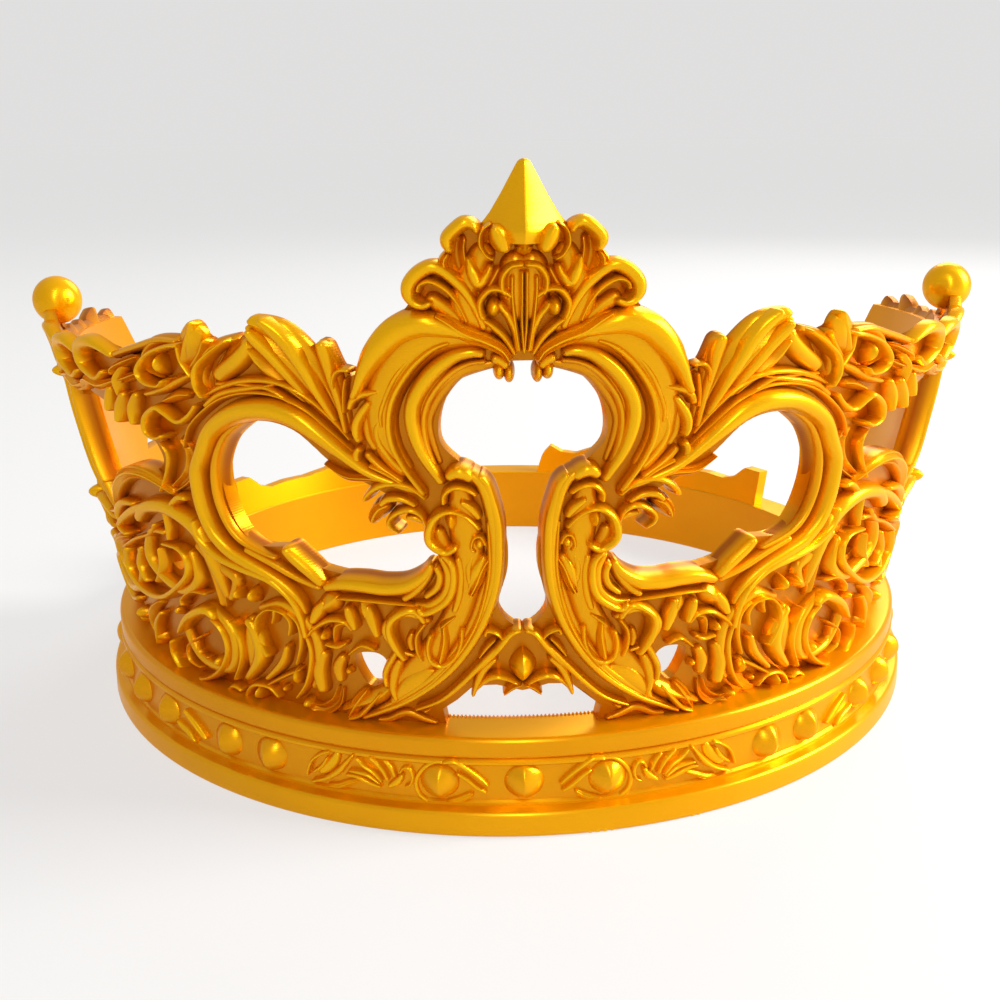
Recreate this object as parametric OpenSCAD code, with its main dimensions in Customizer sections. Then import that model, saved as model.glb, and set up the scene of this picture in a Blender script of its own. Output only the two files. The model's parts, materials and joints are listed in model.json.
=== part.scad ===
/* [Band] */
// Inside diameter of the band, the head opening
head_d = 158; // [130:1:200]
// Thickness of the band, from the head opening to the outside of its lower moulding
band_t = 11; // [8.5:0.1:16]
// Height of the band
band_h = 17.4; // [14:0.2:26]
// Height of the lower moulding
foot_h = 4.6; // [3:0.2:6]
// Height of the upper moulding
cap_h = 3.8; // [3:0.2:5]
// How far the plain frieze lies inside the outside diameter
frieze_in = 2.6; // [1.6:0.1:4]
/* [Studs] */
// Height of the small studs on the frieze
stud_h = 5.6; // [3:0.2:5.8]
// Height of the two large studs beside the middle one
large_stud_h = 6.2; // [3:0.2:6.4]
// How far a stud stands out from the frieze
stud_out = 1.9; // [0.8:0.1:3]
/* [Openwork] */
// Height over all, from the floor to the tip of the front spike
crown_h = 111; // [85:1:140]
// Angle at which the openwork leans out, in degrees
flare = 9.7; // [2:0.1:14]
// Thickness of the wall behind the carving
wall_t = 2.8; // [2:0.1:4]
// Depth of the carving, as a multiple of its drawn depth
relief = 1; // [0.8:0.05:1.3]
/* [Finials] */
// Width of the front spike at its foot
spike_w = 13.6; // [9:0.2:16]
// Height of the front spike over the crest
spike_h = 9.4; // [6:0.2:14]
// Diameter of the ball on each side
ball_d = 9.4; // [6:0.2:13]
// Height of the low crest over the band at the back
back_crest_h = 9.4; // [4:0.2:14]
/* [Hidden] */
head_r = head_d / 2;
band_r = head_r + band_t;
frieze_r = band_r - frieze_in;
// Top edge of the wall behind the carving, right half, as [angle from the front, height] points
TOP = [[0, 104], [5.4, 101.4], [7, 96.8], [9.8, 91.4], [15.8, 79.6], [19, 82.6], [25, 85.2], [33, 83],
       [41, 80.2], [50, 79], [60, 77.6], [70, 76.8], [80, 76], [90, 75.4], [99, 75], [102.4, 64]];
// The carving is drawn over a band of this height, and is stretched between the real band and the spike
drawn_band = 17.4;
// How far the foot of the spike lies below the top of the wall
spike_sunk = 2.4;
lift = (crown_h - spike_h + spike_sunk - band_h) / (TOP[0][1] - drawn_band);
// Depth at which carved ribs start in the wall, how far the wall goes down into the band,
// and the ledge that the band leaves inside the foot of the wall
root = 0.5;
sunk = 1;
ledge = 0.5;
// Length of one degree along the wall, about half way up
mm_deg = 1.55;
// Sections of a carved rib: across from -1 to 1, and out from the root at 0 to the crown at 1
ROLL = [[-1, 0], [-1, 0.5], [-0.65, 0.87], [0, 1], [0.65, 0.87], [1, 0.5], [1, 0]];
BEAD = [[-1, 0], [-0.8, 0.75], [0, 1], [0.8, 0.75], [1, 0]];
STRAP = [[-1, 0], [-0.6, 1], [0.6, 1], [1, 0]];
EDGE = [[-1.2, 0.35], [0, 1], [1.2, 0.35]];
// Top triangles of a six-sided boss: its upper ring is points 6 to 11, its ridge points 12 and 13
BOSS_TOP = [[6, 7, 12], [7, 8, 12], [8, 9, 13], [8, 13, 12], [9, 10, 13], [10, 11, 13], [11, 6, 12],
            [11, 12, 13]];

// Height over the floor of a drawn height
function high(z) = band_h + (z - drawn_band) * lift;
// Inner radius of the leaning wall at a drawn height
function wall_r(z) = head_r + ledge + (high(z) - band_h) * tan(flare);
// The point at an angle from the front, a drawn height, and a distance out from the wall's inner face
function on_wall(a, z, out) = let (r = wall_r(z) + out) [r * sin(a), -r * cos(a), high(z)];
// Direction of a drawn path at its point i, in mm along and up the wall
function heading(q, i) = let (last = len(q) - 1, d = q[min(i + 1, last)] - q[max(i - 1, 0)],
  u = [d[0] * mm_deg, d[1]]) u / norm(u);
// Depth of a rib at a share of its full depth
function depth(share, full) = root + share * (full * relief - root);
// Section of a rib at point i of its path, where a path point is [angle, height, half width, depth]
function rib_section(q, i, shape) = let (t = heading(q, i), p = q[i])
  [for (s = shape) on_wall(p[0] - s[0] * p[2] * t[1] / mm_deg, p[1] + s[0] * p[2] * t[0], depth(s[1],
  p[3]))];
// Side triangles between k rings of m points each
function skin(k, m) = [for (i = [0:k - 2], j = [0:m - 1])
  let (a = i * m + j, b = i * m + (j + 1) % m) each [[a, b, b + m], [a, b + m, a + m]]];

// A carved rib along a path on the wall
module rib(path, shape = BEAD) {
  q = path;
  m = len(shape);
  k = len(q);
  points = [for (i = [0:k - 1]) each rib_section(q, i, shape)];
  start = [[for (j = [m - 1:-1:0]) j]];
  end = [[for (j = [0:m - 1]) (k - 1) * m + j]];
  polyhedron(points, concat(skin(k, m), start, end));
}

// A pearl, gem or small petal: a six-sided boss that narrows to an upright ridge
module gem(a, z, w, tall, out) {
  levels = [[1, 0], [0.9, 0.66]];
  sides = [for (level = levels, t = [330:-60:30])
    on_wall(a + level[0] * w * cos(t) / mm_deg, z + level[0] * tall / 2 * sin(t), depth(level[1], out))];
  ridge = [on_wall(a, z - tall * 0.2, out * relief), on_wall(a, z + tall * 0.2, out * relief)];
  polyhedron(concat(sides, ridge), concat(skin(2, 6), [[5, 4, 3, 2, 1, 0]], BOSS_TOP));
}

// Twice the signed area inside a ring of drawn points
function turn(p) = let (m = len(p))
  [for (i = [0:m - 1]) let (q = p[(i + 1) % m]) p[i][0] * q[1] - q[0] * p[i][1]] * [for (i = [0:m - 1]) 1];

// Cutter of an opening through the wall, for a ring of drawn points in either direction
module opening(outline) {
  m = len(outline);
  ring = turn(outline) > 0 ? outline : [for (i = [m - 1:-1:0]) outline[i]];
  near = -6;
  far = 14;
  corners = [for (out = [near, far], p = ring) on_wall(p[0], p[1], out)];
  inner = [[for (j = [0:m - 1]) j]];
  outer = [[for (j = [m - 1:-1:0]) m + j]];
  sides = [for (j = [0:m - 1]) let (k = (j + 1) % m) each [[j, m + j, m + k], [j, m + k, k]]];
  polyhedron(corners, concat(sides, inner, outer));
}

// The same shape on the right and, mirrored, on the left
module both() {
  children();
  mirror([1, 0, 0]) children();
}

// The plain wall behind the carving: its top edge runs through [angle, height] points
module curtain(top) {
  foot = drawn_band - sunk / lift;
  points = [for (p = top) each [on_wall(p[0], foot, 0), on_wall(p[0], foot, wall_t),
                                on_wall(p[0], p[1], wall_t), on_wall(p[0], p[1], 0)]];
  k = len(top);
  polyhedron(points, concat(skin(k, 4), [[3, 2, 1, 0]], [[for (j = [0:3]) (k - 1) * 4 + j]]));
}

module front_wall() {
  right = [for (p = TOP) p];
  left = [for (i = [len(TOP) - 1:-1:1]) [-TOP[i][0], TOP[i][1]]];
  curtain(concat(left, right));
}

KEYHOLE = [[0, 82.4], [4.6, 81.3], [7.4, 76], [8, 70], [6.2, 66.4], [3.6, 63.4], [1.8, 54], [1.6, 48],
           [2.6, 40.6], [0, 36.8]];
KIDNEY = [[8.8, 50.2], [11, 46.8], [16, 45.2], [22.4, 46.2], [25.4, 49.2], [30, 48.8], [32.6, 52.4],
          [33.4, 60], [31.6, 67.4], [27.6, 71.2], [23, 70.4], [18.6, 64.6], [11.6, 58.6], [9.5, 53.6]];
SIDE_GAP = [[42.6, 61.4], [45.6, 67.2], [54, 69.4], [62.6, 69.6], [65.2, 62], [61.8, 48.8], [58.8, 48],
            [53, 55], [46, 58]];
module openings() {
  opening(concat(KEYHOLE, [for (i = [len(KEYHOLE) - 2:-1:1]) [-KEYHOLE[i][0], KEYHOLE[i][1]]]));
  opening([[-8.8, 15], [-9.4, 20.4], [-5.6, 25.4], [-3, 25.6], [0, 24.4], [3, 25.6], [5.6, 25.4],
           [9.4, 20.4], [8.8, 15]]);
  both() {
    opening(KIDNEY);
    opening([[15.6, 29], [17, 30.8], [19.6, 29.6], [18.4, 24.4], [16.4, 25]]);
    opening(SIDE_GAP);
    opening([[43.6, 41.4], [45.4, 43.6], [47.6, 41.4], [45.6, 39]]);
    opening([[106, 44], [95.6, 44.4], [99.4, 53], [102, 62], [106, 66]]);
  }
}

// The two fluted scrolls of the heart-shaped arch, drawn for the right one
module arch() {
  rib([[0.9, 83.5, 0.8, 5], [3.1, 85.8, 1.2, 5.6], [6.1, 87.4, 1.8, 6], [9, 87.8, 2.4, 6.4],
       [11.5, 86.1, 2.4, 6.4], [13.6, 82.8, 2.1, 6], [15.1, 79, 1.6, 5.4], [16.3, 74.9, 0.8, 4.4]],
       BEAD);
  rib([[6.4, 85.2, 0.6, 4], [10.3, 83.1, 1, 5], [12.4, 78.2, 1, 5.2], [12.7, 71.8, 1, 5.2],
       [11.5, 65.6, 1, 5], [9.7, 61.6, 0.6, 4]], EDGE);
  rib([[3.2, 83.6, 0.8, 4.6], [5.7, 83.2, 1.3, 5.2], [8.2, 81.4, 1.6, 5.7], [10, 77.2, 1.5, 5.7],
       [10.6, 72.1, 1.4, 5.7], [10.1, 66.6, 1.2, 5.2], [8.7, 62.7, 0.9, 4.4]], BEAD);
  rib([[3.2, 82, 0.8, 3.8], [6.4, 80.1, 1, 4.4], [8.6, 75.3, 1, 4.4], [8.9, 70.1, 1, 4.4],
       [8, 64, 0.8, 3.8]], EDGE);
  rib([[11.6, 64.6, 1, 3.6], [13.3, 69.9, 1.7, 4.6], [14.2, 75.2, 1.4, 5], [16.4, 76.7, 0.7, 4.8]], EDGE);
  rib([[12.6, 66.8, 1, 3.6], [14.4, 71.4, 1.6, 4.9], [15.8, 72.8, 1.3, 5], [16.3, 69.9, 0.6, 4.2]], EDGE);
}

// The shell and leaves of the crest, right half
module crest() {
  rib([[0.9, 84.7, 0.9, 4.8], [1.2, 90.2, 1.3, 5.8], [1.1, 96.2, 1.7, 6.6], [2.2, 95.3, 0.9, 6]], BEAD);
  gem(2.7, 91, 1.5, 3, 6.4);
  gem(2.3, 100.6, 2.1, 4.8, 7.4);
  rib([[3, 94.1, 0.9, 5], [4.3, 97.5, 1.5, 6], [5.1, 101.3, 1.6, 6.6], [6.5, 99.7, 0.9, 6]], BEAD);
  rib([[4.6, 91.7, 0.9, 4.6], [5.1, 95.1, 1.5, 5.8], [6.2, 99.5, 0.8, 5.6]], EDGE);
  rib([[4.2, 87.5, 0.9, 4.8], [5.3, 91.5, 1.4, 5.4], [7, 94.9, 1.6, 6], [9, 94.8, 1.4, 6.2],
       [9.8, 92.8, 1.1, 6], [8.5, 91.1, 0.8, 5.4]], BEAD);
}

// The four-sided spike over the crest, with hollow sides and a blunt tip
module spike() {
  foot = crown_h - spike_h;
  // Share of the height, and of the width at the foot
  levels = [[0, 1], [0.13, 0.82], [0.36, 0.6], [0.62, 0.39], [0.94, 0.15], [1, 0.05]];
  corners = [for (level = levels) let (z = foot + level[0] * spike_h, half = level[1] * spike_w / 2,
    r = head_r + ledge + (z - band_h) * tan(flare) + wall_t - 0.6)
    each [[half, -r, z], [0, -r - half * 0.8, z], [-half, -r, z], [0, -r + half * 0.6, z]]];
  k = len(levels);
  polyhedron(corners, concat(skin(k, 4), [[3, 2, 1, 0]], [[for (j = [0:3]) (k - 1) * 4 + j]]));
}

// The pillar between the arch and the band, drawn for the right one
module pillar() {
  rib([[6.5, 65.6, 1.3, 4.8], [3.7, 62.7, 1.4, 5.4], [2.4, 54.3, 1.4, 5.4], [2.6, 45.3, 1.4, 5.2],
       [4.7, 36.3, 1.4, 5], [8.5, 28.9, 1.3, 5], [13.4, 22.9, 1.1, 5], [18.9, 17.8, 0.6, 4.4]], BEAD);
  rib([[4.6, 46.1, 0.8, 4.4], [5.3, 39.9, 1.1, 5], [7.5, 33.7, 1.1, 5], [10.9, 28.3, 1, 5],
       [16.3, 21.9, 0.7, 4.2]], EDGE);
  gem(6.1, 59.7, 1.6, 4.4, 5.4);
  rib([[5.4, 57.3, 0.7, 4.4], [7.9, 59.1, 1, 5.4], [9.5, 55.5, 1, 5.4], [7.9, 51.9, 1, 5.2],
       [5.6, 53.3, 0.7, 4.4]], EDGE);
  gem(7.3, 56, 1.8, 4.6, 6.6);
  rib([[3.7, 50.8, 0.8, 4.6], [4.8, 47.8, 1.5, 5.6], [5.8, 43.2, 0.7, 4.6]], EDGE);
  rib([[8.7, 50.6, 0.7, 4.6], [7.7, 47.4, 1.2, 5.4], [8.1, 43.8, 1.2, 5.4], [9.8, 41.4, 1.2, 5.4],
       [11.9, 41.2, 0.7, 4.6]], BEAD);
  gem(8.9, 35, 2.5, 7.2, 6.4);
  rib([[9.8, 38, 0.8, 4.8], [12.7, 39.6, 1.1, 5.5], [15, 36.4, 1.2, 5.6], [14.1, 32.4, 0.9, 4.8],
       [11.9, 31.2, 0.6, 4.4]], BEAD);
}

// The leaves under the middle gem, right half
module collar() {
  rib([[0, 36.8, 0.8, 4.8], [1.8, 35.6, 1.3, 5.4], [3.3, 32.2, 1.3, 5.4], [6.2, 27.8, 0.8, 4.6]], BEAD);
  rib([[0, 26.2, 0.8, 5], [2.4, 28, 1.1, 5.2], [4.3, 27.5, 1, 5], [5.9, 24.1, 0.5, 4.2]], BEAD);
}

// The curled leaves that hang beside the pillar into the kidney-shaped opening
module tuft() {
  rib([[9.2, 60.1, 0.8, 4.4], [11.9, 61.1, 1.2, 5], [14.6, 60.2, 1.1, 5], [15.3, 56.5, 0.5, 4.4]], STRAP);
  rib([[9.3, 57.9, 0.8, 4.4], [11.3, 58.8, 1.1, 4.8], [13.1, 57.4, 1, 5], [12.5, 54.9, 0.5, 4.4]], STRAP);
}

// The broad scroll round the kidney-shaped opening
module kidney_frame() {
  rib([[9.3, 61.1, 0.8, 4.6], [15.2, 64.6, 1.2, 5.2], [19.9, 70.7, 2, 6], [24.3, 73.8, 2.3, 6.2],
       [30.2, 71.6, 2.1, 6], [34.3, 65, 1.8, 5.8], [36.3, 57.5, 1.7, 5.6], [35.4, 50, 1.8, 5.6],
       [30.9, 45.4, 1.8, 5.6], [26.3, 41.9, 1.4, 5.2], [24.4, 37.2, 0.6, 4.6]], BEAD);
  rib([[28, 71.6, 0.6, 4], [31.3, 68, 0.9, 4.3], [33.6, 62, 1, 4.4], [34, 55.2, 1, 4.4],
       [32.1, 49.6, 1, 4.4], [27.2, 47, 0.7, 4.2]], BEAD);
  rib([[10.1, 48.8, 1.2, 4.6], [12.6, 45.1, 1.8, 5.2], [16.7, 44, 2, 5.4], [21.1, 43.9, 1.6, 5.2],
       [24.2, 42.1, 0.7, 4.4]], BEAD);
  rib([[21.6, 42.6, 1.2, 4.6], [23.6, 46.7, 2.1, 5.4], [26.6, 49.5, 1, 5.2]], BEAD);
}

// The acanthus leaf over the kidney-shaped scroll and the leaves beside it
module acanthus() {
  rib([[16.4, 69, 0.8, 3.8], [17.2, 77.1, 1.6, 4.8], [18.3, 85.6, 1.2, 5.4]], BEAD);
  rib([[17.2, 71.4, 0.8, 4], [18.7, 79.2, 1.5, 5.2], [21.7, 85.7, 2.1, 6.6], [25.1, 88.1, 0.9, 7]], BEAD);
  rib([[17.8, 71.4, 0.8, 3.8], [21.6, 81, 2.2, 5.6], [25.5, 87.2, 1, 6.6]], BEAD);
  rib([[24.5, 84.7, 1.2, 4.8], [27.5, 82.2, 2.4, 5.4], [30.5, 78.5, 1.1, 4.6]], BEAD);
  rib([[27, 84.9, 0.8, 5], [30.3, 83, 1.1, 5.8], [32.2, 79.2, 1.1, 5.8], [32.1, 75.5, 0.8, 4.8]], BEAD);
  rib([[34.4, 79.3, 1.1, 4.8], [32.6, 83.4, 2.6, 6.2], [31.5, 87.2, 1.2, 6.2]], BEAD);
  rib([[34.6, 83.5, 0.9, 4.8], [38.5, 82.6, 1.2, 5.4], [41, 78.7, 1.2, 5.2], [38.1, 76.9, 0.9, 4.8]],
       BEAD);
  gem(36.7, 79.8, 1.3, 4, 5.6);
}

// The row of leaves along the top of the side opening
module shoulder() {
  rib([[41.1, 80.7, 1, 4.6], [50.1, 79.9, 1.4, 5.2], [60.1, 78.3, 1.4, 5.2], [69.3, 78.1, 1.1, 5]], BEAD);
  for (i = [0:3]) {
    gem(45.3 + i * 4.8, 71.9, 2.2, 5.6, 5.6);
  }
  rib([[38.7, 65.5, 0.8, 4.4], [40.1, 61.2, 1.3, 5], [42.8, 57.1, 0.6, 4.4]], EDGE);
  gem(39.9, 55.1, 1.6, 4, 5.4);
}

// The oval medallion, the rosettes and the pearls of the lower side
module rosettes() {
  rib([[35.9, 36.6, 1, 4.8], [36.7, 43, 1.6, 5.6], [38.2, 49.6, 1.8, 6], [42.6, 52.4, 1.8, 6],
       [47.8, 51, 1.6, 6], [51.6, 46.9, 1.2, 5.4]], BEAD);
  rib([[41, 45.2, 0.9, 4.8], [40.3, 39.4, 1.3, 5.6], [44.8, 35.6, 1.3, 5.6], [50.6, 39.4, 1.3, 5.6],
       [48.7, 45.7, 1, 5.2], [45, 46.8, 0.8, 5]], BEAD);
  gem(47.3, 41.1, 1.5, 5.4, 5.4);
  rib([[31.5, 36.4, 0.8, 4.6], [27.2, 38.3, 1.2, 5.2], [24, 34, 1.2, 5.2], [24, 26.8, 1.1, 5.2],
       [25.5, 21.9, 0.8, 4.8]], BEAD);
  gem(28.6, 33.8, 2.2, 4.8, 6.2);
  rib([[32.7, 34.8, 0.9, 4.6], [33.5, 29, 1.7, 5.4], [34.5, 21.8, 0.9, 4.6]], BEAD);
  rib([[40, 34.8, 0.9, 4.8], [36.1, 29.5, 1.4, 5.6], [38, 22.1, 1.3, 5.6], [44, 21.4, 1.2, 5.2],
       [46.2, 26.9, 1.1, 5], [43.7, 31.2, 0.8, 4.8]], BEAD);
  gem(41.4, 22.4, 1.7, 3, 5.4);
  gem(41.1, 28.9, 2.2, 5, 5.8);
  gem(25.7, 23.8, 1.7, 4.4, 6);
  gem(31.9, 19.3, 1.6, 3.4, 5.4);
}

// The leaves and curled shells under the kidney-shaped opening
module rail_leaves() {
  rib([[17.5, 41.9, 0.9, 4.4], [17.2, 39.4, 1.7, 5.4], [16.7, 36.2, 0.7, 4.6]], BEAD);
  rib([[19.9, 41.9, 0.9, 4.4], [21.3, 40.2, 1.8, 5.4], [23.8, 37.1, 0.8, 4.6]], BEAD);
  rib([[18.3, 36.5, 0.7, 4.4], [21, 35.8, 1.1, 4.8], [21.7, 30.9, 0.6, 4.2]], STRAP);
  gem(21.8, 33.8, 1.2, 2.8, 5.4);
  rib([[15.1, 24.8, 1, 4.6], [17.3, 22.1, 1.6, 5.4], [22.2, 18.4, 0.8, 4.6]], BEAD);
}

// The side column, with the stem of its ball
module column() {
  rib([[60, 44.8, 1.6, 4.8], [62.8, 50.3, 2.3, 5.6], [65.5, 58.3, 2.5, 5.8], [66.1, 67.2, 2.2, 5.8],
       [66.9, 76.1, 1.8, 5.2]], BEAD);
  rib([[66, 73.7, 1.4, 4.8], [69.2, 78.1, 2.1, 5.4], [72.4, 82.7, 1.9, 5]], BEAD);
  rib([[52.5, 50.5, 0.9, 4.6], [55.9, 45.5, 1.4, 5.4], [61.9, 41.9, 1.5, 5.4], [67.8, 44.6, 1, 4.8]], BEAD);
  gem(69, 58.2, 1.7, 6, 5.4);
}

// The carving behind the column, out of sight from the front
module rear() {
  rib([[70.4, 75, 0.9, 4.8], [83, 75.8, 1.5, 5.4], [96.1, 74.3, 1.4, 5.2], [100.5, 66.1, 0.9, 4.6]], BEAD);
  rib([[73.9, 70.1, 0.9, 4.6], [78, 60.2, 1.6, 5.4], [88.8, 57.6, 1.8, 5.6], [93.7, 66.1, 1.2, 5.2]], BEAD);
  rib([[54.2, 40.1, 0.9, 4.4], [57.5, 30.1, 1.5, 5.2], [67.7, 28.9, 1.4, 5.2], [67.5, 37, 0.9, 4.6]], BEAD);
}

// The low crest that runs round the back of the band, right half from the side to the back
module back_crest() {
  step = back_crest_h / 9.4;
  edge = [[120, 26.6], [124, 26.6], [126.4, 23.6], [129, 22.4], [133, 22.8], [138, 22.6], [143, 23.4],
          [146, 24.6], [149, 22.6], [154, 22.4], [157, 24], [159, 25.3], [163, 23.2], [166, 23.6], [168.3, 25.3],
          [170, 22.6], [171, 18]];
  curtain([for (p = edge) [p[0], drawn_band + (p[1] - drawn_band) * step]]);
}

// The turned band with its mouldings
module band() {
  foot = [for (t = [0:15:180]) [band_r - 1.1 + 1.1 * sin(t), foot_h / 2 - foot_h / 2 * cos(t)]];
  cap = [for (t = [0:15:150]) [frieze_r - 1 + 1.3 * sin(t), band_h - cap_h / 2 - cap_h / 2 * cos(t)]];
  low_line = foot_h + 0.4;
  high_line = band_h - cap_h - 0.4;
  profile = concat([[head_r, 0]], foot,
    [[frieze_r + 0.5, low_line], [frieze_r + 0.5, low_line + 0.5], [frieze_r, low_line + 0.9],
     [frieze_r, high_line - 0.9], [frieze_r + 0.5, high_line - 0.5], [frieze_r + 0.5, high_line]],
    cap, [[frieze_r - 2.2, band_h], [head_r, band_h]]);
  rotate_extrude($fn = 180) polygon(profile);
}

// A stud on the frieze: a six-sided boss that narrows to an upright ridge
module stud(a, tall) {
  middle = (foot_h + band_h - cap_h) / 2;
  levels = [[1, -0.8], [0.92, stud_out * 0.55]];
  sides = [for (level = levels, t = [330:-60:30])
    let (r = frieze_r + level[1], c = a + level[0] * tall * 0.42 * cos(t) / frieze_r * 180 / PI)
    [r * sin(c), -r * cos(c), middle + level[0] * tall / 2 * sin(t)]];
  r = frieze_r + stud_out;
  ridge = [for (end = [-1, 1]) [r * sin(a), -r * cos(a), middle + end * tall * 0.2]];
  polyhedron(concat(sides, ridge), concat(skin(2, 6), [[5, 4, 3, 2, 1, 0]], BOSS_TOP));
}

module studs() {
  stud(0, stud_h);
  for (side = [-1, 1]) {
    stud(side * 9.2, large_stud_h);
    for (a = [29.8, 36.5, 48.3, 55.2, 63]) {
      stud(side * a, stud_h);
    }
  }
}

module balls() {
  both() translate(on_wall(73.5, 84, 2)) sphere(d = ball_d, $fn = 36);
}

// All the carving, as one skin of flat facets
module openwork() {
  difference() {
    front_wall();
    openings();
  }
  spike();
  gem(0, 30.2, 2.8, 7.6, 7);
  gem(0, 99.8, 1.8, 5, 7);
  both() {
    arch();
    crest();
    pillar();
    collar();
    tuft();
    kidney_frame();
    acanthus();
    shoulder();
    rosettes();
    rail_leaves();
    column();
    rear();
    back_crest();
  }
}

module crown() {
  color([0.93, 0.62, 0.05]) {
    band();
    balls();
    resize([0, 0, 0]) {
      openwork();
      studs();
    }
  }
}

crown();
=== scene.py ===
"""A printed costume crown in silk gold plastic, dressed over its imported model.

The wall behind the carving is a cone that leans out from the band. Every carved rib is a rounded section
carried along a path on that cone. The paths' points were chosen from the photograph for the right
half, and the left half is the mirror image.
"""
import json
import math

import bpy
import numpy as np
from mathutils import Matrix, Vector


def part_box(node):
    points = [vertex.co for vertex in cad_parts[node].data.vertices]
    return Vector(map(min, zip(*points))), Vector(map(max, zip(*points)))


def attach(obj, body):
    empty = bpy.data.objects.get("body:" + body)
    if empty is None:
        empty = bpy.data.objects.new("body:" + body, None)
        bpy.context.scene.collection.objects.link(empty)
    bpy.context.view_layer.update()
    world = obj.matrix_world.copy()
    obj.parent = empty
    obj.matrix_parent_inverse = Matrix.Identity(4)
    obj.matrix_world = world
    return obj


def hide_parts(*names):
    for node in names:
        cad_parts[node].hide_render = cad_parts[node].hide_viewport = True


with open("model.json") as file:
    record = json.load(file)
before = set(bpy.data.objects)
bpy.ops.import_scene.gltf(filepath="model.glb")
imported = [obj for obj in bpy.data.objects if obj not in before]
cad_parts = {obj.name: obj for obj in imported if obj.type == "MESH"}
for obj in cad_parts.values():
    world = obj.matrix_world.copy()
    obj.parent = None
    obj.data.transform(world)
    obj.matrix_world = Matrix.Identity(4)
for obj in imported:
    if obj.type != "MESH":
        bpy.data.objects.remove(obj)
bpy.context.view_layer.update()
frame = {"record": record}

# Sizes from the frame, in mm
MM = 0.001
DEGREE = math.pi / 180
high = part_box("crown")[1]
rim = next(m for m in frame["record"]["mounts"] if m["name"] == "head_rim")
HEAD_R = rim["dims"]["r_mm"]
BAND_H = rim["dims"]["length_mm"]
BAND_R = high[1] / MM
CROWN_H = high[2] / MM

# The wall: its step out from the head opening, its lean and thickness, and how far in the ribs start
LEDGE = 0.5
LEAN = math.tan(math.radians(9.7))
WALL_T = 2.8
ROOT = 0.5

# The carving was drawn for this band and this top, and is stretched between the real ones
DRAWN_BAND = 17.4
DRAWN_TOP = 111.0
LIFT = (CROWN_H - BAND_H) / (DRAWN_TOP - DRAWN_BAND)

# The frieze, and how far inside it the ribs on it start
FRIEZE_R = BAND_R - 2.6
FRIEZE_SINK = 0.6

# Widths are measured on the cone this far out from the wall's inner face
MEASURED = 2

# Tones of painted shade for the material, from 0, darkest, in the deepest grooves to 1, lightest, on the
# highest carving
WALL_TONE = 0.16
INSIDE_TONE = 0.42
FRIEZE_TONE = 0.46
STUD_TONE = 0.6
CREST_TONE = 0.6
MOULDING_TONE = 0.66
SMOOTH_TONE = 0.85
INSIDE_DEPTH = 1.2
FULL_RELIEF = 3.4


# Surfaces
def placed(r, turn, z):
    """Points in metres from a radius, a turn in radians away from the front, which is -Y, and a height."""
    return np.stack(np.broadcast_arrays(r * np.sin(turn), -r * np.cos(turn), z), axis=-1) * MM


def wall_radius(z):
    """Inner radius of the leaning wall at a drawn height."""
    return HEAD_R + LEDGE + (z - DRAWN_BAND) * LIFT * LEAN


def on_wall(a, z, out):
    """Points on the leaning wall: the radius is the wall's inner radius plus out, turned by a degrees."""
    return placed(wall_radius(z) + out, a * DEGREE, BAND_H + (z - DRAWN_BAND) * LIFT)


def on_frieze(a, z, out):
    """Points on the band's upright frieze: the radius is the frieze's plus out, less how far ribs sink."""
    return placed(FRIEZE_R + out - ROOT - FRIEZE_SINK, a * DEGREE, z)


def between(p0, p1, p2, p3, f):
    """Catmull-Rom at share f: the cubic from p1 to p2, along p2 - p0 at first and p3 - p1 at last."""
    return 0.5 * (2 * p1 + (p2 - p0) * f + (2 * p0 - 5 * p1 + 4 * p2 - p3) * f ** 2
                  + (3 * p1 - p0 - 3 * p2 + p3) * f ** 3)


def smooth_path(points, rings, crowding=0.4):
    """The curve through a path's points, read at ring positions that crowd towards both ends."""
    p = np.array(points, float)
    t = np.linspace(0, 1, rings)
    t = (1 - crowding) * t + crowding * (0.5 - 0.5 * np.cos(np.pi * t))
    x = t * (len(p) - 1)
    i = np.minimum(x.astype(int), len(p) - 2)
    before, after = np.maximum(i - 1, 0), np.minimum(i + 2, len(p) - 1)
    return between(p[before], p[i], p[i + 1], p[after], (x - i)[:, None])


def closed_curve(points, steps):
    """The curve through a closed ring of points, read at even steps between each two."""
    p = np.array(points, float)
    f = np.linspace(0, 1, steps, endpoint=False)[None, :, None]
    return between(*(np.roll(p, k, axis=0)[:, None, :] for k in (1, 0, -1, -2)), f).reshape(-1, 2)


def top_line(points):
    """A height for each angle, straight between drawn points and the same on both sides."""
    p = np.array(points, float)
    return lambda a: np.interp(np.abs(a), p[:, 0], p[:, 1])


def flipped(points):
    """The mirror image of drawn points."""
    return [[-a, z] for a, z in points]


# Sections of a rib: height from 0 at the root to 1 at the top, for u across it from -1 to 1
def dome(u, power):
    """The root of one less |u| to a power: a half circle at 2, and squarer above."""
    return (1 - np.abs(u) ** power) ** 0.5


def bead_section(u):
    """A plain round bead: a dome of power 2.4."""
    return dome(u, 2.4)


def roll_section(u):
    """A broad smooth roll, a little fuller at its shoulders: a dome of power 2.6."""
    return dome(u, 2.6)


def flute_section(u):
    """A hollowed strap between two raised edges: a square dome, times a middle sunk to 0.72."""
    return dome(u, 5) * (0.72 + 0.28 * np.abs(u) ** 1.6)


def leaf_section(u):
    """A smooth leaf: a dome, times a squared cosine that leaves a ridge between two soft grooves."""
    return dome(u, 2.6) * (0.8 + 0.2 * np.cos(1.5 * np.pi * u) ** 2)


def blade_section(u):
    """A pointed leaf folded along its middle: a square dome, times two straight slopes from a ridge."""
    return dome(u, 8) * (1 - 0.42 * np.abs(u))


def trough_section(u):
    """A hollowed leaf between two raised, rounded rims: a square dome, times a middle sunk to 0.55."""
    return dome(u, 6) * (0.55 + 0.45 * np.abs(u) ** 1.8)


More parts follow.
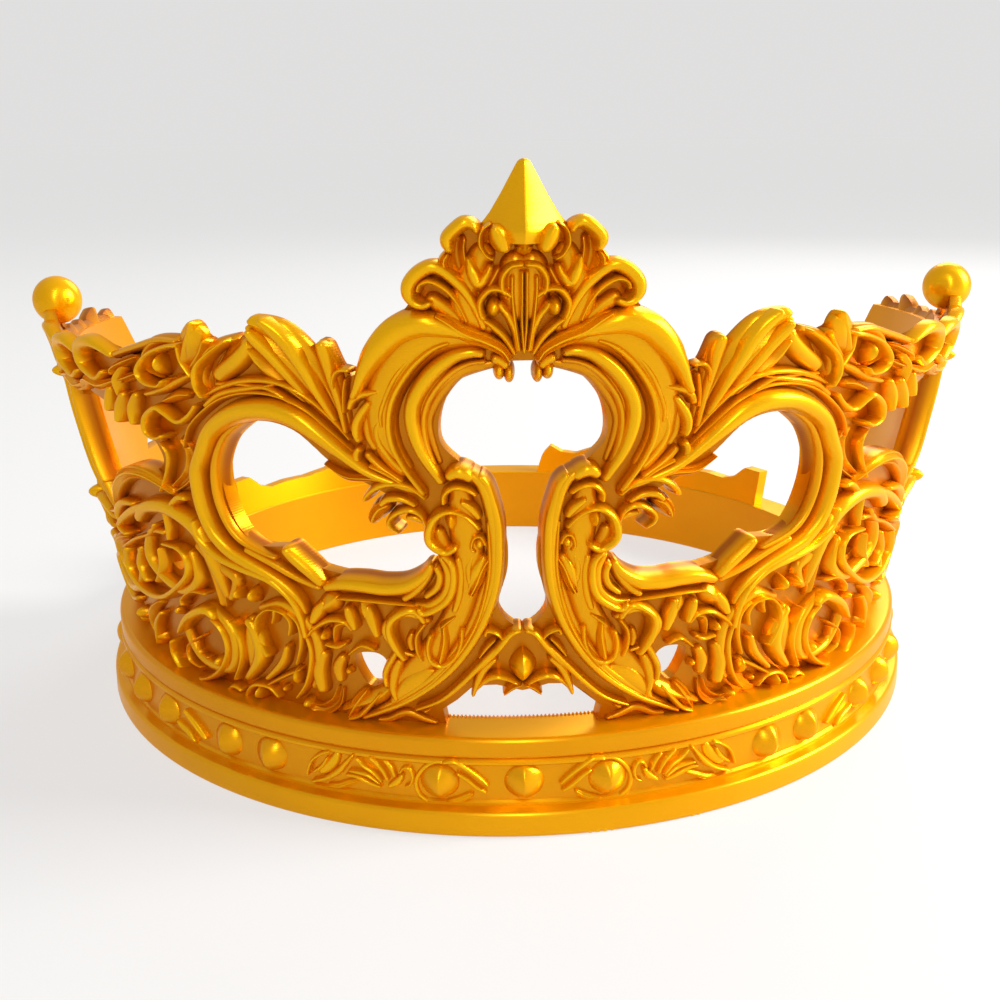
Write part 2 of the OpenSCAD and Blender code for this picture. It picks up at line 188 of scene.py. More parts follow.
def path_maker(section, around):
    """A function that ties a path's points to a section and to the number of points across it."""
    return lambda *points: (points, section, around)


THIN, BROAD = 14, 20
bead = path_maker(bead_section, THIN)
roll = path_maker(roll_section, BROAD)
flute = path_maker(flute_section, BROAD)
leaf = path_maker(leaf_section, BROAD)
blade = path_maker(blade_section, BROAD)
trough = path_maker(trough_section, BROAD)

# Rings of a rib: so many at its ends together, and so many for each point of its path
END_RINGS, POINT_RINGS = 13, 6

# Its ends close over their own half width, or at least over LEAST_CAP, down to a small share of the width
LEAST_CAP = 0.4
END_SHARE = 0.02
END_FALL = 0.6

# Past the wall's top edge a rib keeps only this thickness, from just below the edge and over a short way
FREE_TIP = 2.6
TIP_START, TIP_WAY = 0.8, 2.4


def rib(points, section, around, fine=1.0, surface=on_wall):
    """One carved rib: the section is laid across the path, square to it on the cone. Its ends narrow as a
    quarter circle does, and fall a little later. Past the wall's top edge its back comes forward."""
    a, z, w, h = smooth_path(points, int((END_RINGS + POINT_RINGS * len(points)) * fine)).T
    mm_per_degree = (wall_radius(z) + MEASURED) * DEGREE
    da = np.gradient(a) * mm_per_degree
    dz = np.gradient(z)
    step = np.hypot(da, dz) + 1e-9
    s = np.concatenate([[0], np.cumsum(0.5 * (step[1:] + step[:-1]))])
    cap = np.maximum(w, LEAST_CAP)
    near = np.clip(np.minimum(s / cap[0], (s[-1] - s) / cap[-1]), 0, 1)
    taper = np.sqrt(np.clip(1 - (1 - near) ** 2, END_SHARE ** 2, 1))
    u = np.sin(np.linspace(-np.pi / 2, np.pi / 2, around))[None, :]
    across = u * (w * taper)[:, None]
    top = section(u)
    top[:, [0, -1]] = 0
    aa = a[:, None] - across * (dz / step / mm_per_degree)[:, None]
    zz = z[:, None] + across * (da / step)[:, None]
    over = np.clip((zz - top_height(aa) + TIP_START) / TIP_WAY, 0, 1)
    back = ROOT + over * np.maximum(h[:, None] - FREE_TIP - ROOT, 0)
    out = back + top * (h[:, None] - back) * taper[:, None] ** END_FALL
    return surface(aa, zz, out)


# How far from its pole a dome's last ring stays, as an angle
POLE = 0.03


def boss(a, z, w, tall, out, ridge=0.0, rings=9, around=26, surface=on_wall, waist=1.0, fall=0.45):
    """A pearl, gem or stud: an oval dome on shrinking rings. A ridge makes its height fall to both sides of
    an upright middle line, and with a waist its outline draws in towards its upper and lower ends."""
    rho = np.sin(np.linspace(np.pi / 2, POLE, rings))[:, None]
    phi = np.linspace(0, 2 * np.pi, around, endpoint=False)[None, :]
    side = rho * np.cos(phi)
    up = rho * np.sin(phi)
    pinch = 1 - fall * ridge * waist * np.abs(up) ** 1.5
    height = np.sqrt(np.clip(1 - rho ** 2, 0, 1)) * (1 - ridge * fall * np.abs(side))
    scale = (wall_radius(z) + MEASURED) * DEGREE
    return surface(a + side * w * pinch / scale, z + up * tall / 2, ROOT + height * (out - ROOT))[::-1]


def globe(rings, around, pole=POLE):
    """A ball of radius 1 as rings of latitude: x and y follow the sine of the polar angle, z its cosine."""
    t = np.linspace(pole, np.pi - pole, rings)[:, None]
    p = np.linspace(0, 2 * np.pi, around, endpoint=False)[None, :]
    return np.sin(t) * np.cos(p), np.sin(t) * np.sin(p), np.cos(t) + 0 * p


# Making the pieces
def tube_faces(rings, around, start):
    """Quads between closed rings, and one face over each end."""
    i, j = np.meshgrid(np.arange(rings - 1), np.arange(around), indexing="ij")
    a = i * around + j
    b = i * around + (j + 1) % around
    quads = np.stack([a, a + around, b + around, b], axis=-1).reshape(-1, 4) + start
    first = (np.arange(around) + start).tolist()
    last = (np.arange(around)[::-1] + (rings - 1) * around + start).tolist()
    return quads.tolist() + [first, last]


def turned_over(faces):
    """The same faces seen from their other side."""
    return [face[::-1] for face in faces]


def relief_of(verts):
    """A tone of painted shade for each point: one even painted shade on the wall's inner side, and elsewhere
    the wall's own tone plus a share of how far the point stands out from the wall's outer face, so hollows
    are painted darker."""
    z = DRAWN_BAND + (verts[:, 2] / MM - BAND_H) / LIFT
    out = np.hypot(verts[:, 0], verts[:, 1]) / MM - wall_radius(z)
    return np.where(out < INSIDE_DEPTH, INSIDE_TONE, np.clip(WALL_TONE + (out - WALL_T) / FULL_RELIEF, 0, 1))


def paint_shade(piece, tones):
    """Stores one tone of painted shade, or one for each point, where the material reads it."""
    marks = piece.data.attributes
    if "relief" not in marks:
        marks.new("relief", "FLOAT", "POINT")
    marks["relief"].data.foreach_set("value", np.full(len(piece.data.vertices), tones, np.float32))


def shade(mesh, sharp_angle):
    """Smooth shading up to an angle in degrees between faces."""
    mesh.polygons.foreach_set("use_smooth", np.ones(len(mesh.polygons), bool))
    mesh.set_sharp_from_angle(angle=math.radians(sharp_angle))


def solid(name, verts, faces, sharp_angle=40):
    """A mesh object at the origin, with painted shade tones from how far its carving stands out."""
    mesh = bpy.data.meshes.new(name)
    mesh.from_pydata(verts.tolist(), [], faces)
    mesh.update()
    shade(mesh, sharp_angle)
    piece = bpy.data.objects.new(name, mesh)
    bpy.context.scene.collection.objects.link(piece)
    paint_shade(piece, relief_of(verts))
    return piece


def carving(name, strokes, mirrored=True):
    """One piece from many closed ribs and bosses, each given as rings of points, with their mirror images."""
    verts, faces, start = [], [], 0
    for grid in strokes:
        rings, around = grid.shape[:2]
        for side in (1, -1) if mirrored else (1,):
            own = tube_faces(rings, around, start)
            verts.append(grid.reshape(-1, 3) * [side, 1, 1])
            faces += own if side == 1 else turned_over(own)
            start += rings * around
    return solid(name, np.concatenate(verts), faces)


def carved(name, paths, gems=(), **options):
    """One named piece of the carving, from its ribs and gems."""
    return carving(name, [rib(*path, **options) for path in paths] + [boss(*gem) for gem in gems])


def cutter(outline, steps=6, depths=(-6.0, 16.0)):
    """A prism through the wall between two depths: its outline is a smooth closed curve, or the drawn points
    where steps is 0, and its sides run out from the axis."""
    ring = closed_curve(outline, steps) if steps else np.array(outline, float)
    a, z = ring.T
    if np.sum(a * np.roll(z, -1) - np.roll(a, -1) * z) < 0:
        a, z = a[::-1], z[::-1]
    return np.stack([on_wall(a, z, depth) for depth in depths])


def cut(piece, grids, sharp_angle=25):
    """Takes closed prisms away from a piece with a boolean, and applies it."""
    verts, faces, start = [], [], 0
    for grid in grids:
        verts.append(grid.reshape(-1, 3))
        faces += turned_over(tube_faces(*grid.shape[:2], start))
        start += len(verts[-1])
    tool = solid("cutters", np.concatenate(verts), faces)
    step = piece.modifiers.new("openings", "BOOLEAN")
    step.operation = "DIFFERENCE"
    step.solver = "EXACT"
    step.use_self = True
    step.object = tool
    done = bpy.data.meshes.new_from_object(piece.evaluated_get(bpy.context.evaluated_depsgraph_get()))
    piece.modifiers.clear()
    piece.data = done
    bpy.data.objects.remove(tool)
    shade(done, sharp_angle)
    # Painted shade tones are worked out again for the cut piece's points
    spots = np.empty(len(done.vertices) * 3)
    done.vertices.foreach_get("co", spots)
    paint_shade(piece, relief_of(spots.reshape(-1, 3)))


def revolve(name, profile, segments, sharp_angle=30):
    """A ring turned from a closed profile of (radius, height) in mm."""
    p = np.array(profile, float)
    n = len(p)
    turn = np.linspace(0, 2 * np.pi, segments, endpoint=False)[:, None]
    verts = placed(p[None, :, 0], turn, p[None, :, 1]).reshape(-1, 3)
    i, j = np.meshgrid(np.arange(segments), np.arange(n), indexing="ij")
    a = i * n + j
    b = i * n + (j + 1) % n
    c = ((i + 1) % segments) * n + (j + 1) % n
    d = ((i + 1) % segments) * n + j
    faces = np.stack([a, d, c, b], axis=-1).reshape(-1, 4).tolist()
    return solid(name, verts, faces, sharp_angle)


def arc(cx, cz, rx, rz, start, end, steps):
    """Points on part of an oval, by angle in degrees from straight down."""
    t = np.radians(np.linspace(start, end, steps))
    return np.stack([cx + rx * np.sin(t), cz - rz * np.cos(t)], axis=-1).tolist()


# The band: upright mouldings with rounded edges at its foot and top, each with a small step to the frieze
FOOT_H = 4.6
CAP_H = 3.8
EDGE_R = 0.7
TALL_EDGE = 1.2 * EDGE_R
CAP_EDGE = 1.5 * EDGE_R
FOOT_DRAFT = 0.1
CAP_R = FRIEZE_R + 0.3
STEP = 0.5
COVE = 0.4
LOW_CHAMFER = 0.35
TOP_CHAMFER = 0.3
FOOT_SINK = 0.05
SKIN = 0.02
SEGMENTS = 720
NEAR_FRIEZE = 0.3
NEAR_INSIDE = 0.2
low_line = FOOT_H + COVE
high_line = BAND_H - CAP_H - COVE
PROFILE = ([[HEAD_R + SKIN, LOW_CHAMFER], [HEAD_R + LOW_CHAMFER, SKIN]]
           + arc(BAND_R - SKIN - EDGE_R, EDGE_R + SKIN, EDGE_R, EDGE_R, 0, 90, 7)
           + arc(BAND_R - SKIN - FOOT_DRAFT - EDGE_R, FOOT_H - TALL_EDGE, EDGE_R, TALL_EDGE, 90, 180, 7)
           + [[FRIEZE_R + STEP, low_line - FOOT_SINK], [FRIEZE_R + STEP, low_line + STEP],
              [FRIEZE_R, low_line + STEP + COVE], [FRIEZE_R, high_line - STEP - COVE],
              [FRIEZE_R + STEP, high_line - STEP], [FRIEZE_R + STEP, high_line]]
           + arc(CAP_R - EDGE_R, BAND_H - CAP_H + EDGE_R, EDGE_R, EDGE_R, 20, 90, 5)
           + arc(CAP_R - CAP_EDGE, BAND_H - SKIN - TALL_EDGE, CAP_EDGE, TALL_EDGE, 90, 180, 7)
           + [[HEAD_R + TOP_CHAMFER, BAND_H - SKIN], [HEAD_R + SKIN, BAND_H - TOP_CHAMFER]])
band = revolve("band", PROFILE, SEGMENTS)
# Painted shade on the band: the inner face and the sunk frieze take darker tones than the mouldings
reach = np.tile(np.array(PROFILE)[:, 0], SEGMENTS)
outer_tone = np.where(np.abs(reach - FRIEZE_R) < NEAR_FRIEZE, FRIEZE_TONE, MOULDING_TONE)
paint_shade(band, np.where(reach < HEAD_R + NEAR_INSIDE, INSIDE_TONE, outer_tone))

# Studs on the frieze: those up to LAST_SEEN degrees stand as in the photograph, the rest follow evenly
STUD_ANGLES = (9.4, 30.5, 37.3, 49.6, 57.6, 66, *range(78, 175, 12))
LAST_SEEN = 70
STUD_W, STUD_H = 3.3, 6.5
STUD_Z, MIDDLE_STUD_Z = 9.3, 9.5


def stud(a, z, rings, around):
    """A ridged dome on the frieze, or a lower and rounder one past the last that the photograph shows."""
    out, ridge = (2.5, 1.0) if a < LAST_SEEN else (1.8, 0.3)
    return boss(a, z, STUD_W, STUD_H, ROOT + FRIEZE_SINK + out, ridge, rings, around, on_frieze, 0)


studs = carving("frieze_studs", [stud(a, STUD_Z, 12, 34) for a in STUD_ANGLES])
middle_stud = carving("middle_stud", [stud(0.0, MIDDLE_STUD_Z, 16, 44)], False)
# Painted shade: the studs take one tone partway up the ramp
for piece in (studs, middle_stud):
    paint_shade(piece, STUD_TONE)

# The rough print edge on the band's inner top: so many teeth between these angles
TEETH_ANGLE, TEETH = 9, 37
TOOTH_R, TOOTH_HALF_W = 0.45, 0.22
TOOTH_INSET, TOOTH_SINK = 0.5, 0.1


def tooth(a):
    """One small upright oval on the band's inner top edge: a ball's rings, made narrow round the band."""
    x, y, z = globe(7, 10, 0.05)
    turn = a * DEGREE + TOOTH_HALF_W * x / HEAD_R
    return placed(HEAD_R + TOOTH_INSET + TOOTH_R * y, turn, BAND_H - TOOTH_SINK + TOOTH_R * z)


teeth = carving("print_teeth", [tooth(a) for a in np.linspace(-TEETH_ANGLE, TEETH_ANGLE, TEETH)], False)

# Rough lips that the print left on the foot: start and end angle, and height
LIPS = ((5.4, 11.4, 1.0), (18.6, 20.6, 0.9))
LIP_R, LIP_INSET, LIP_Z = 0.3, 0.35, 0.05
LIP_WAVE, WAVE_TURN = 0.3, 7.3
LIP_RINGS, LIP_END = 30, 0.12


def rim_lip(a0, a1, tall):
    """A flat rib along the band's foot: its size swells as a sine between its ends, times a wave along it."""
    a = np.linspace(a0, a1, LIP_RINGS)[:, None]
    t = np.linspace(0, 2 * np.pi, 12, endpoint=False)[None, :]
    swell = np.sin(np.linspace(LIP_END, np.pi - LIP_END, LIP_RINGS))[:, None] ** 0.7
    size = swell * (1 + LIP_WAVE * np.sin(WAVE_TURN * a))
    r = BAND_R - LIP_INSET + LIP_R * size * np.cos(t)
    z = tall / 2 + LIP_Z + tall / 2 * np.minimum(size, 1) * np.sin(t)
    return placed(r, a * DEGREE, z)[::-1]


lips = carving("print_lips", [rim_lip(*lip) for lip in LIPS], False)

# The wall's top edge and its openings, as angles and drawn heights
TOP = [[0, 104], [5.4, 101.4], [7, 96.8], [9.8, 91.4], [15.8, 79.6], [19, 82.6], [25, 85.2], [33, 83],
       [41, 80.2], [50, 79], [60, 77.6], [70, 76.8], [80, 76], [90, 75.4], [99, 75], [102.4, 64]]
KEYHOLE = [[0, 82.4], [4.6, 81.3], [7.4, 76], [8, 70], [6.2, 66.4], [3.6, 63.4], [1.8, 54], [1.6, 48],
           [2.6, 40.6], [0, 36.8]]
KIDNEY = [[8.8, 50.2], [11, 46.8], [16, 45.2], [22.4, 46.2], [25.4, 49.2], [30, 48.8], [32.6, 52.4],
          [33.4, 60], [31.6, 67.4], [27.6, 71.2], [23, 70.4], [18.6, 64.6], [11.6, 58.6], [9.5, 53.6]]
SIDE_GAP = [[42.6, 61.4], [45.6, 67.2], [54, 69.4], [62.6, 69.6], [65.2, 62], [61.8, 48.8], [58.8, 48],
            [53, 55], [46, 58]]
LOW_GAP = [[8.8, 15], [9.4, 20.4], [5.6, 25.4], [3, 25.6]]
LEAF_GAP = [[15.6, 29], [17, 30.8], [19.6, 29.6], [18.4, 24.4], [16.4, 25]]
SCROLL_GAP = [[43.6, 41.4], [45.4, 43.6], [47.6, 41.4], [45.6, 39]]
REAR_GAP = [[106, 44], [95.6, 44.4], [99.4, 53], [102, 62], [106, 66]]
WALL_END = 102.4
WALL_COLUMNS = 411
WALL_FOOT = 1.0
top_height = top_line(TOP)


def curtain(a0, a1, top, columns):
    """A plain piece of wall between two angles: columns of four corners, from a little inside the band up to
    the height that top(a) gives."""
    a = np.linspace(a0, a1, columns)
    foot = np.full(columns, DRAWN_BAND - WALL_FOOT)
    corners = (foot, 0), (foot, WALL_T), (top(a), WALL_T), (top(a), 0)
    return np.stack([on_wall(a, z, out) for z, out in corners], axis=1)


wall_grid = curtain(-WALL_END, WALL_END, top_height, WALL_COLUMNS)
wall = solid("wall", wall_grid.reshape(-1, 3), tube_faces(WALL_COLUMNS, 4, 0), 25)
keyhole = KEYHOLE + flipped(KEYHOLE[1:-1])[::-1]
low_gap = flipped(LOW_GAP) + [[0, 24.4]] + LOW_GAP[::-1]
gaps = [cutter(keyhole), cutter(low_gap, 0), cutter(REAR_GAP, 0), cutter(flipped(REAR_GAP), 0)]
for gap in (KIDNEY, SIDE_GAP, LEAF_GAP, SCROLL_GAP):
    gaps += [cutter(gap), cutter(flipped(gap))]
cut(wall, gaps)

# The low crest over the back of the band: its top edge on the right half
CREST_EDGE = [[120, 26.6], [124, 26.6], [126.4, 23.6], [129, 22.4], [133, 22.8], [138, 22.6], [143, 23.4],
              [146, 24.6], [149, 22.6], [154, 22.4], [157, 24], [159, 25.3], [163, 23.2], [166, 23.6],
              [168.3, 25.3], [170, 22.6], [171, 18]]
back_crest = carving("back_crest", [curtain(120, 171, top_line(CREST_EDGE), 120)])
# Painted shade: the low crest takes one tone partway up the ramp
paint_shade(back_crest, CREST_TONE)

# Paths on the right half. Each point is its angle from the front in degrees, its drawn height, its half
# width and its depth out from the wall's inner face in mm. Each gem is its angle, height, half width, height
# over all, depth and ridge, and may go on with its rings and its points around.

# The big arch over the keyhole: broad rolls, and the beads and curls on them
ARCH = [
    roll((1.4, 84.6, 1, 3.6), (5.6, 86.2, 2.6, 4.4), (9.2, 85.2, 3.6, 4.8), (12, 80.4, 3.6, 4.8),
         (13.4, 74.4, 3.2, 4.6), (13, 68.6, 2.8, 4.4), (11, 63.6, 2, 4)),
    roll((2, 82.2, 0.8, 3.2), (6.4, 80.6, 1.6, 3.8), (9, 76.6, 1.8, 4), (10, 71.4, 1.8, 4),
         (9.2, 66.4, 1.6, 3.8), (7.4, 62.6, 1, 3.4)),
    roll((4, 85.6, 0.7, 5), (5.5, 86.9, 1.4, 5.5), (7.4, 87.8, 2.1, 6.1), (9.2, 88.1, 2.5, 6.4),
         (11.1, 86.9, 2.4, 6.5), (12.8, 84.3, 2.1, 6.6), (14.2, 81.2, 1.6, 6.3), (15.1, 78.3, 1.1, 6),
         (15.8, 76.3, 0.8, 5.6)),
    bead((7.7, 84.9, 0.6, 4.4), (9, 84.4, 0.8, 4.6), (10.3, 82.5, 0.9, 4.8), (11.6, 79.9, 0.9, 5),
         (12.6, 76.8, 0.9, 4.9), (13.2, 74.2, 0.8, 4.9), (13.2, 71.8, 0.6, 4.8)),
    bead((6.3, 85.5, 0.6, 4.8), (7.9, 84.5, 0.8, 5), (9.5, 82.4, 0.9, 5.1), (10.8, 79.8, 0.9, 5.2),
         (11.9, 76.7, 0.9, 5.4), (12.5, 73.1, 0.9, 5.2), (12.4, 69.3, 0.9, 5.1), (11.3, 65.2, 0.8, 5),
         (9.5, 60.7, 0.8, 4.8)),
    bead((9.1, 84.8, 0.9, 3.8), (10.5, 84.7, 1.1, 3.9), (12, 82.3, 1.1, 4), (13.3, 79.4, 1.1, 4.1),
         (14.3, 77.5, 0.9, 4.2)),
    roll((3.3, 83.5, 0.8, 4.8), (4.5, 83.9, 1.1, 5.1), (6, 83.4, 1.3, 5.4), (7.5, 81.8, 1.5, 5.7),
         (8.8, 79.6, 1.6, 5.8), (9.9, 76.7, 1.6, 5.8), (10.3, 73.9, 1.6, 5.8), (10.1, 70.8, 1.5, 5.7),
         (9.5, 67.7, 1.3, 5.4), (8.5, 64.8, 1.1, 5.1), (7.7, 62.6, 0.9, 4.8)),
    bead((3.2, 82.5, 0.6, 4.2), (4.8, 82.2, 0.6, 4.3), (6.3, 81, 0.8, 4.4), (7.7, 78.8, 0.8, 4.5),
         (8.8, 76, 0.8, 4.6), (9.3, 72.9, 0.8, 4.5), (9.2, 69.3, 0.8, 4.4), (8.5, 65.9, 0.6, 4.3),
         (7.7, 63, 0.6, 4.2)),
    roll((3.2, 81.5, 0.6, 3.4), (4.7, 81.2, 0.8, 3.5), (6.1, 80, 0.9, 3.5), (7.4, 77.8, 1, 3.6),
         (8.5, 74.9, 1, 3.6), (8.9, 72.3, 0.9, 3.5), (8.6, 69.2, 0.8, 3.5), (7.9, 65.8, 0.6, 3.4)),
    bead((12.9, 77.9, 0.6, 4.8), (14.1, 77.5, 0.9, 4.9), (15.2, 77, 1.1, 5), (15.9, 76, 0.9, 5.1),
         (16.2, 74.5, 0.6, 5.2)),
    bead((14, 76.3, 0.8, 5), (15, 74.4, 1.1, 5.1), (15.7, 72.5, 1.1, 5.2), (15.8, 70.8, 1, 5.3),
         (15.4, 69.4, 0.6, 5.4)),
    bead((13.9, 75.4, 0.9, 3.8), (14.8, 72.7, 1.1, 3.9), (14.8, 70.3, 1.1, 4.1), (14, 67.9, 0.9, 4.2)),
    bead((15.5, 68.8, 0.8, 4.8), (16.1, 67.5, 1, 4.9), (16.1, 66, 1, 4.9), (15.4, 64.4, 0.6, 5)),
    bead((13.2, 73.4, 0.8, 4.6), (13.8, 71.7, 0.9, 4.7), (13.6, 69.3, 1, 4.8), (12.6, 66.8, 0.9, 4.9),
         (11.3, 64.7, 0.8, 5)),
    bead((15.3, 68, 0.9, 4.2), (14.6, 66.4, 1, 4.3), (13.3, 64.6, 1, 4.5), (11.5, 62.9, 0.8, 4.6)),
    roll((1.3, 81.3, 0.9, 4.8), (2.1, 82.6, 1.1, 4.9), (3, 83.2, 0.8, 5)),
]
ARCH_GEMS = [(2.2, 81, 1, 3.4, 5.2, 0), (1.3, 80.6, 0.9, 3.6, 5, 0)]

# The shell crest under the spike
CREST = [
    roll((0.6, 88, 1.6, 4.2), (0.8, 93, 3, 4.4), (0.6, 99, 2.4, 4)),
    roll((2.4, 87, 1, 4), (5, 90, 2.6, 4.6), (4.4, 95.4, 2.4, 4.4), (2.6, 99.6, 1.6, 4)),
    trough((0.5, 95.6, 1.7, 4.9), (0.6, 92.6, 1.6, 4.8), (0.4, 88.7, 1, 4.7), (0.1, 83.9, 0.5, 4.6)),
    bead((-0.1, 96.8, 0.7, 6.4), (1.1, 96.5, 0.7, 6.3), (1.8, 95, 0.7, 6.2), (1.8, 93.2, 0.7, 6.1),
         (1.4, 92.4, 0.5, 6)),
    bead((1, 95.4, 0.5, 6), (1, 92.4, 0.5, 5.8), (0.8, 88.8, 0.5, 5.6), (0.4, 83.9, 0.5, 5.4)),
    bead((0.2, 96, 0.4, 6.2), (0.2, 92.4, 0.4, 5.9), (0.2, 88.5, 0.4, 5.7), (0, 83.7, 0.4, 5.4)),
    bead((1.4, 98.3, 0.7, 7), (1.7, 99.4, 1.6, 7.2), (2, 100.7, 1.9, 7.3), (2.3, 101.6, 1.5, 7.2),
         (2.6, 102.4, 0.7, 7)),
    bead((2.6, 102.6, 0.4, 6.2), (3.4, 101.5, 0.4, 6.2), (3.6, 99.7, 0.5, 6.2), (3.1, 98.1, 0.4, 6.2),
         (2.4, 97.4, 0.4, 6.2)),
    bead((3.7, 100.9, 0.7, 6.2), (4.1, 102.2, 0.9, 6.4), (4.8, 102.5, 1.1, 6.6), (5.6, 101.6, 1.1, 6.8),
         (6.2, 100.4, 1.1, 6.7), (6.1, 99.1, 0.9, 6.5), (5.8, 98.4, 0.7, 6.4)),
    trough((5.3, 101.3, 1.2, 5), (5.6, 98.8, 1.4, 5.2), (5.4, 96.3, 1.5, 5.4), (4.7, 93.8, 1.2, 5.2),
           (3.7, 90.7, 0.7, 5)),
    leaf((6.1, 98.6, 0.7, 5.4), (6.6, 97.1, 1.1, 5.4), (6.3, 95.4, 1, 5.4), (5.5, 94, 0.6, 5.4)),
    bead((2.7, 96.9, 0.5, 5.8), (3.1, 95.4, 0.9, 6.2), (3.8, 94.2, 1.2, 6.6), (4.3, 95.9, 1.2, 6.6),
         (4.6, 98.1, 0.5, 6)),
    blade((2, 96.6, 0.8, 4.6), (2.5, 94.9, 1.2, 4.7), (3.2, 93, 1.2, 4.7), (4, 91.2, 0.6, 4.8)),
    bead((0.9, 91.9, 0.7, 5.8), (1.8, 93.1, 0.7, 6), (2.9, 93.2, 0.7, 6.3), (3.7, 91.5, 0.7, 6.3),
         (3.6, 89.6, 0.7, 6.2), (3.2, 88.7, 0.7, 6)),
    bead((0.5, 83.8, 0.7, 5.2), (0.7, 86.6, 0.8, 5.3), (1.2, 89, 0.9, 5.5), (1.8, 90.4, 0.8, 5.7),
         (2.3, 91.6, 0.8, 5.8)),
    bead((0.7, 83.4, 0.5, 5), (1.6, 86, 0.8, 5.1), (2.7, 87.9, 0.8, 5.3), (3.6, 89, 0.5, 5.4)),
    roll((3.3, 87, 0.8, 5), (4.2, 90.8, 1, 5.3), (5.4, 93.9, 1.2, 5.6), (7.2, 96.3, 1.2, 5.9),
         (8.6, 95.8, 1.2, 6.2), (9.6, 93.9, 1.2, 6.5), (9.5, 91.9, 1.1, 6.5), (8.6, 91, 0.9, 6.5),
         (7.6, 91.6, 0.6, 6.4)),
    bead((4.8, 88.2, 0.5, 5.2), (5.5, 91, 0.5, 5.4), (6.5, 93.2, 0.7, 5.5), (7.8, 94.4, 0.7, 5.7),
         (8.7, 93.9, 0.5, 5.8), (8.9, 92.7, 0.5, 6)),
    bead((5.2, 87.9, 1.3, 4.2), (6.5, 89.9, 1.6, 4.4), (7.6, 91.3, 1.6, 4.6), (8.5, 92.3, 1.3, 4.8)),
    leaf((1.2, 82.2, 0.7, 5), (1.8, 84.1, 1.1, 5.6), (3.2, 85.6, 1.4, 6.1), (5.1, 86.9, 1.5, 6.3),
         (6.6, 88.6, 1.2, 6.2), (7.7, 89.7, 0.5, 6)),
    bead((-0.1, 98, 1.6, 5.6), (-0.2, 99, 1.2, 5.6), (-0.1, 99.8, 1.1, 5.6)),
    bead((2.9, 99.9, 2, 4.4), (3.9, 96.3, 2.4, 4.4), (3.8, 92.2, 1.6, 4.4)),
]
CREST_GEMS = [(2.6, 90.6, 1.3, 3.4, 6.6, 0.2)]

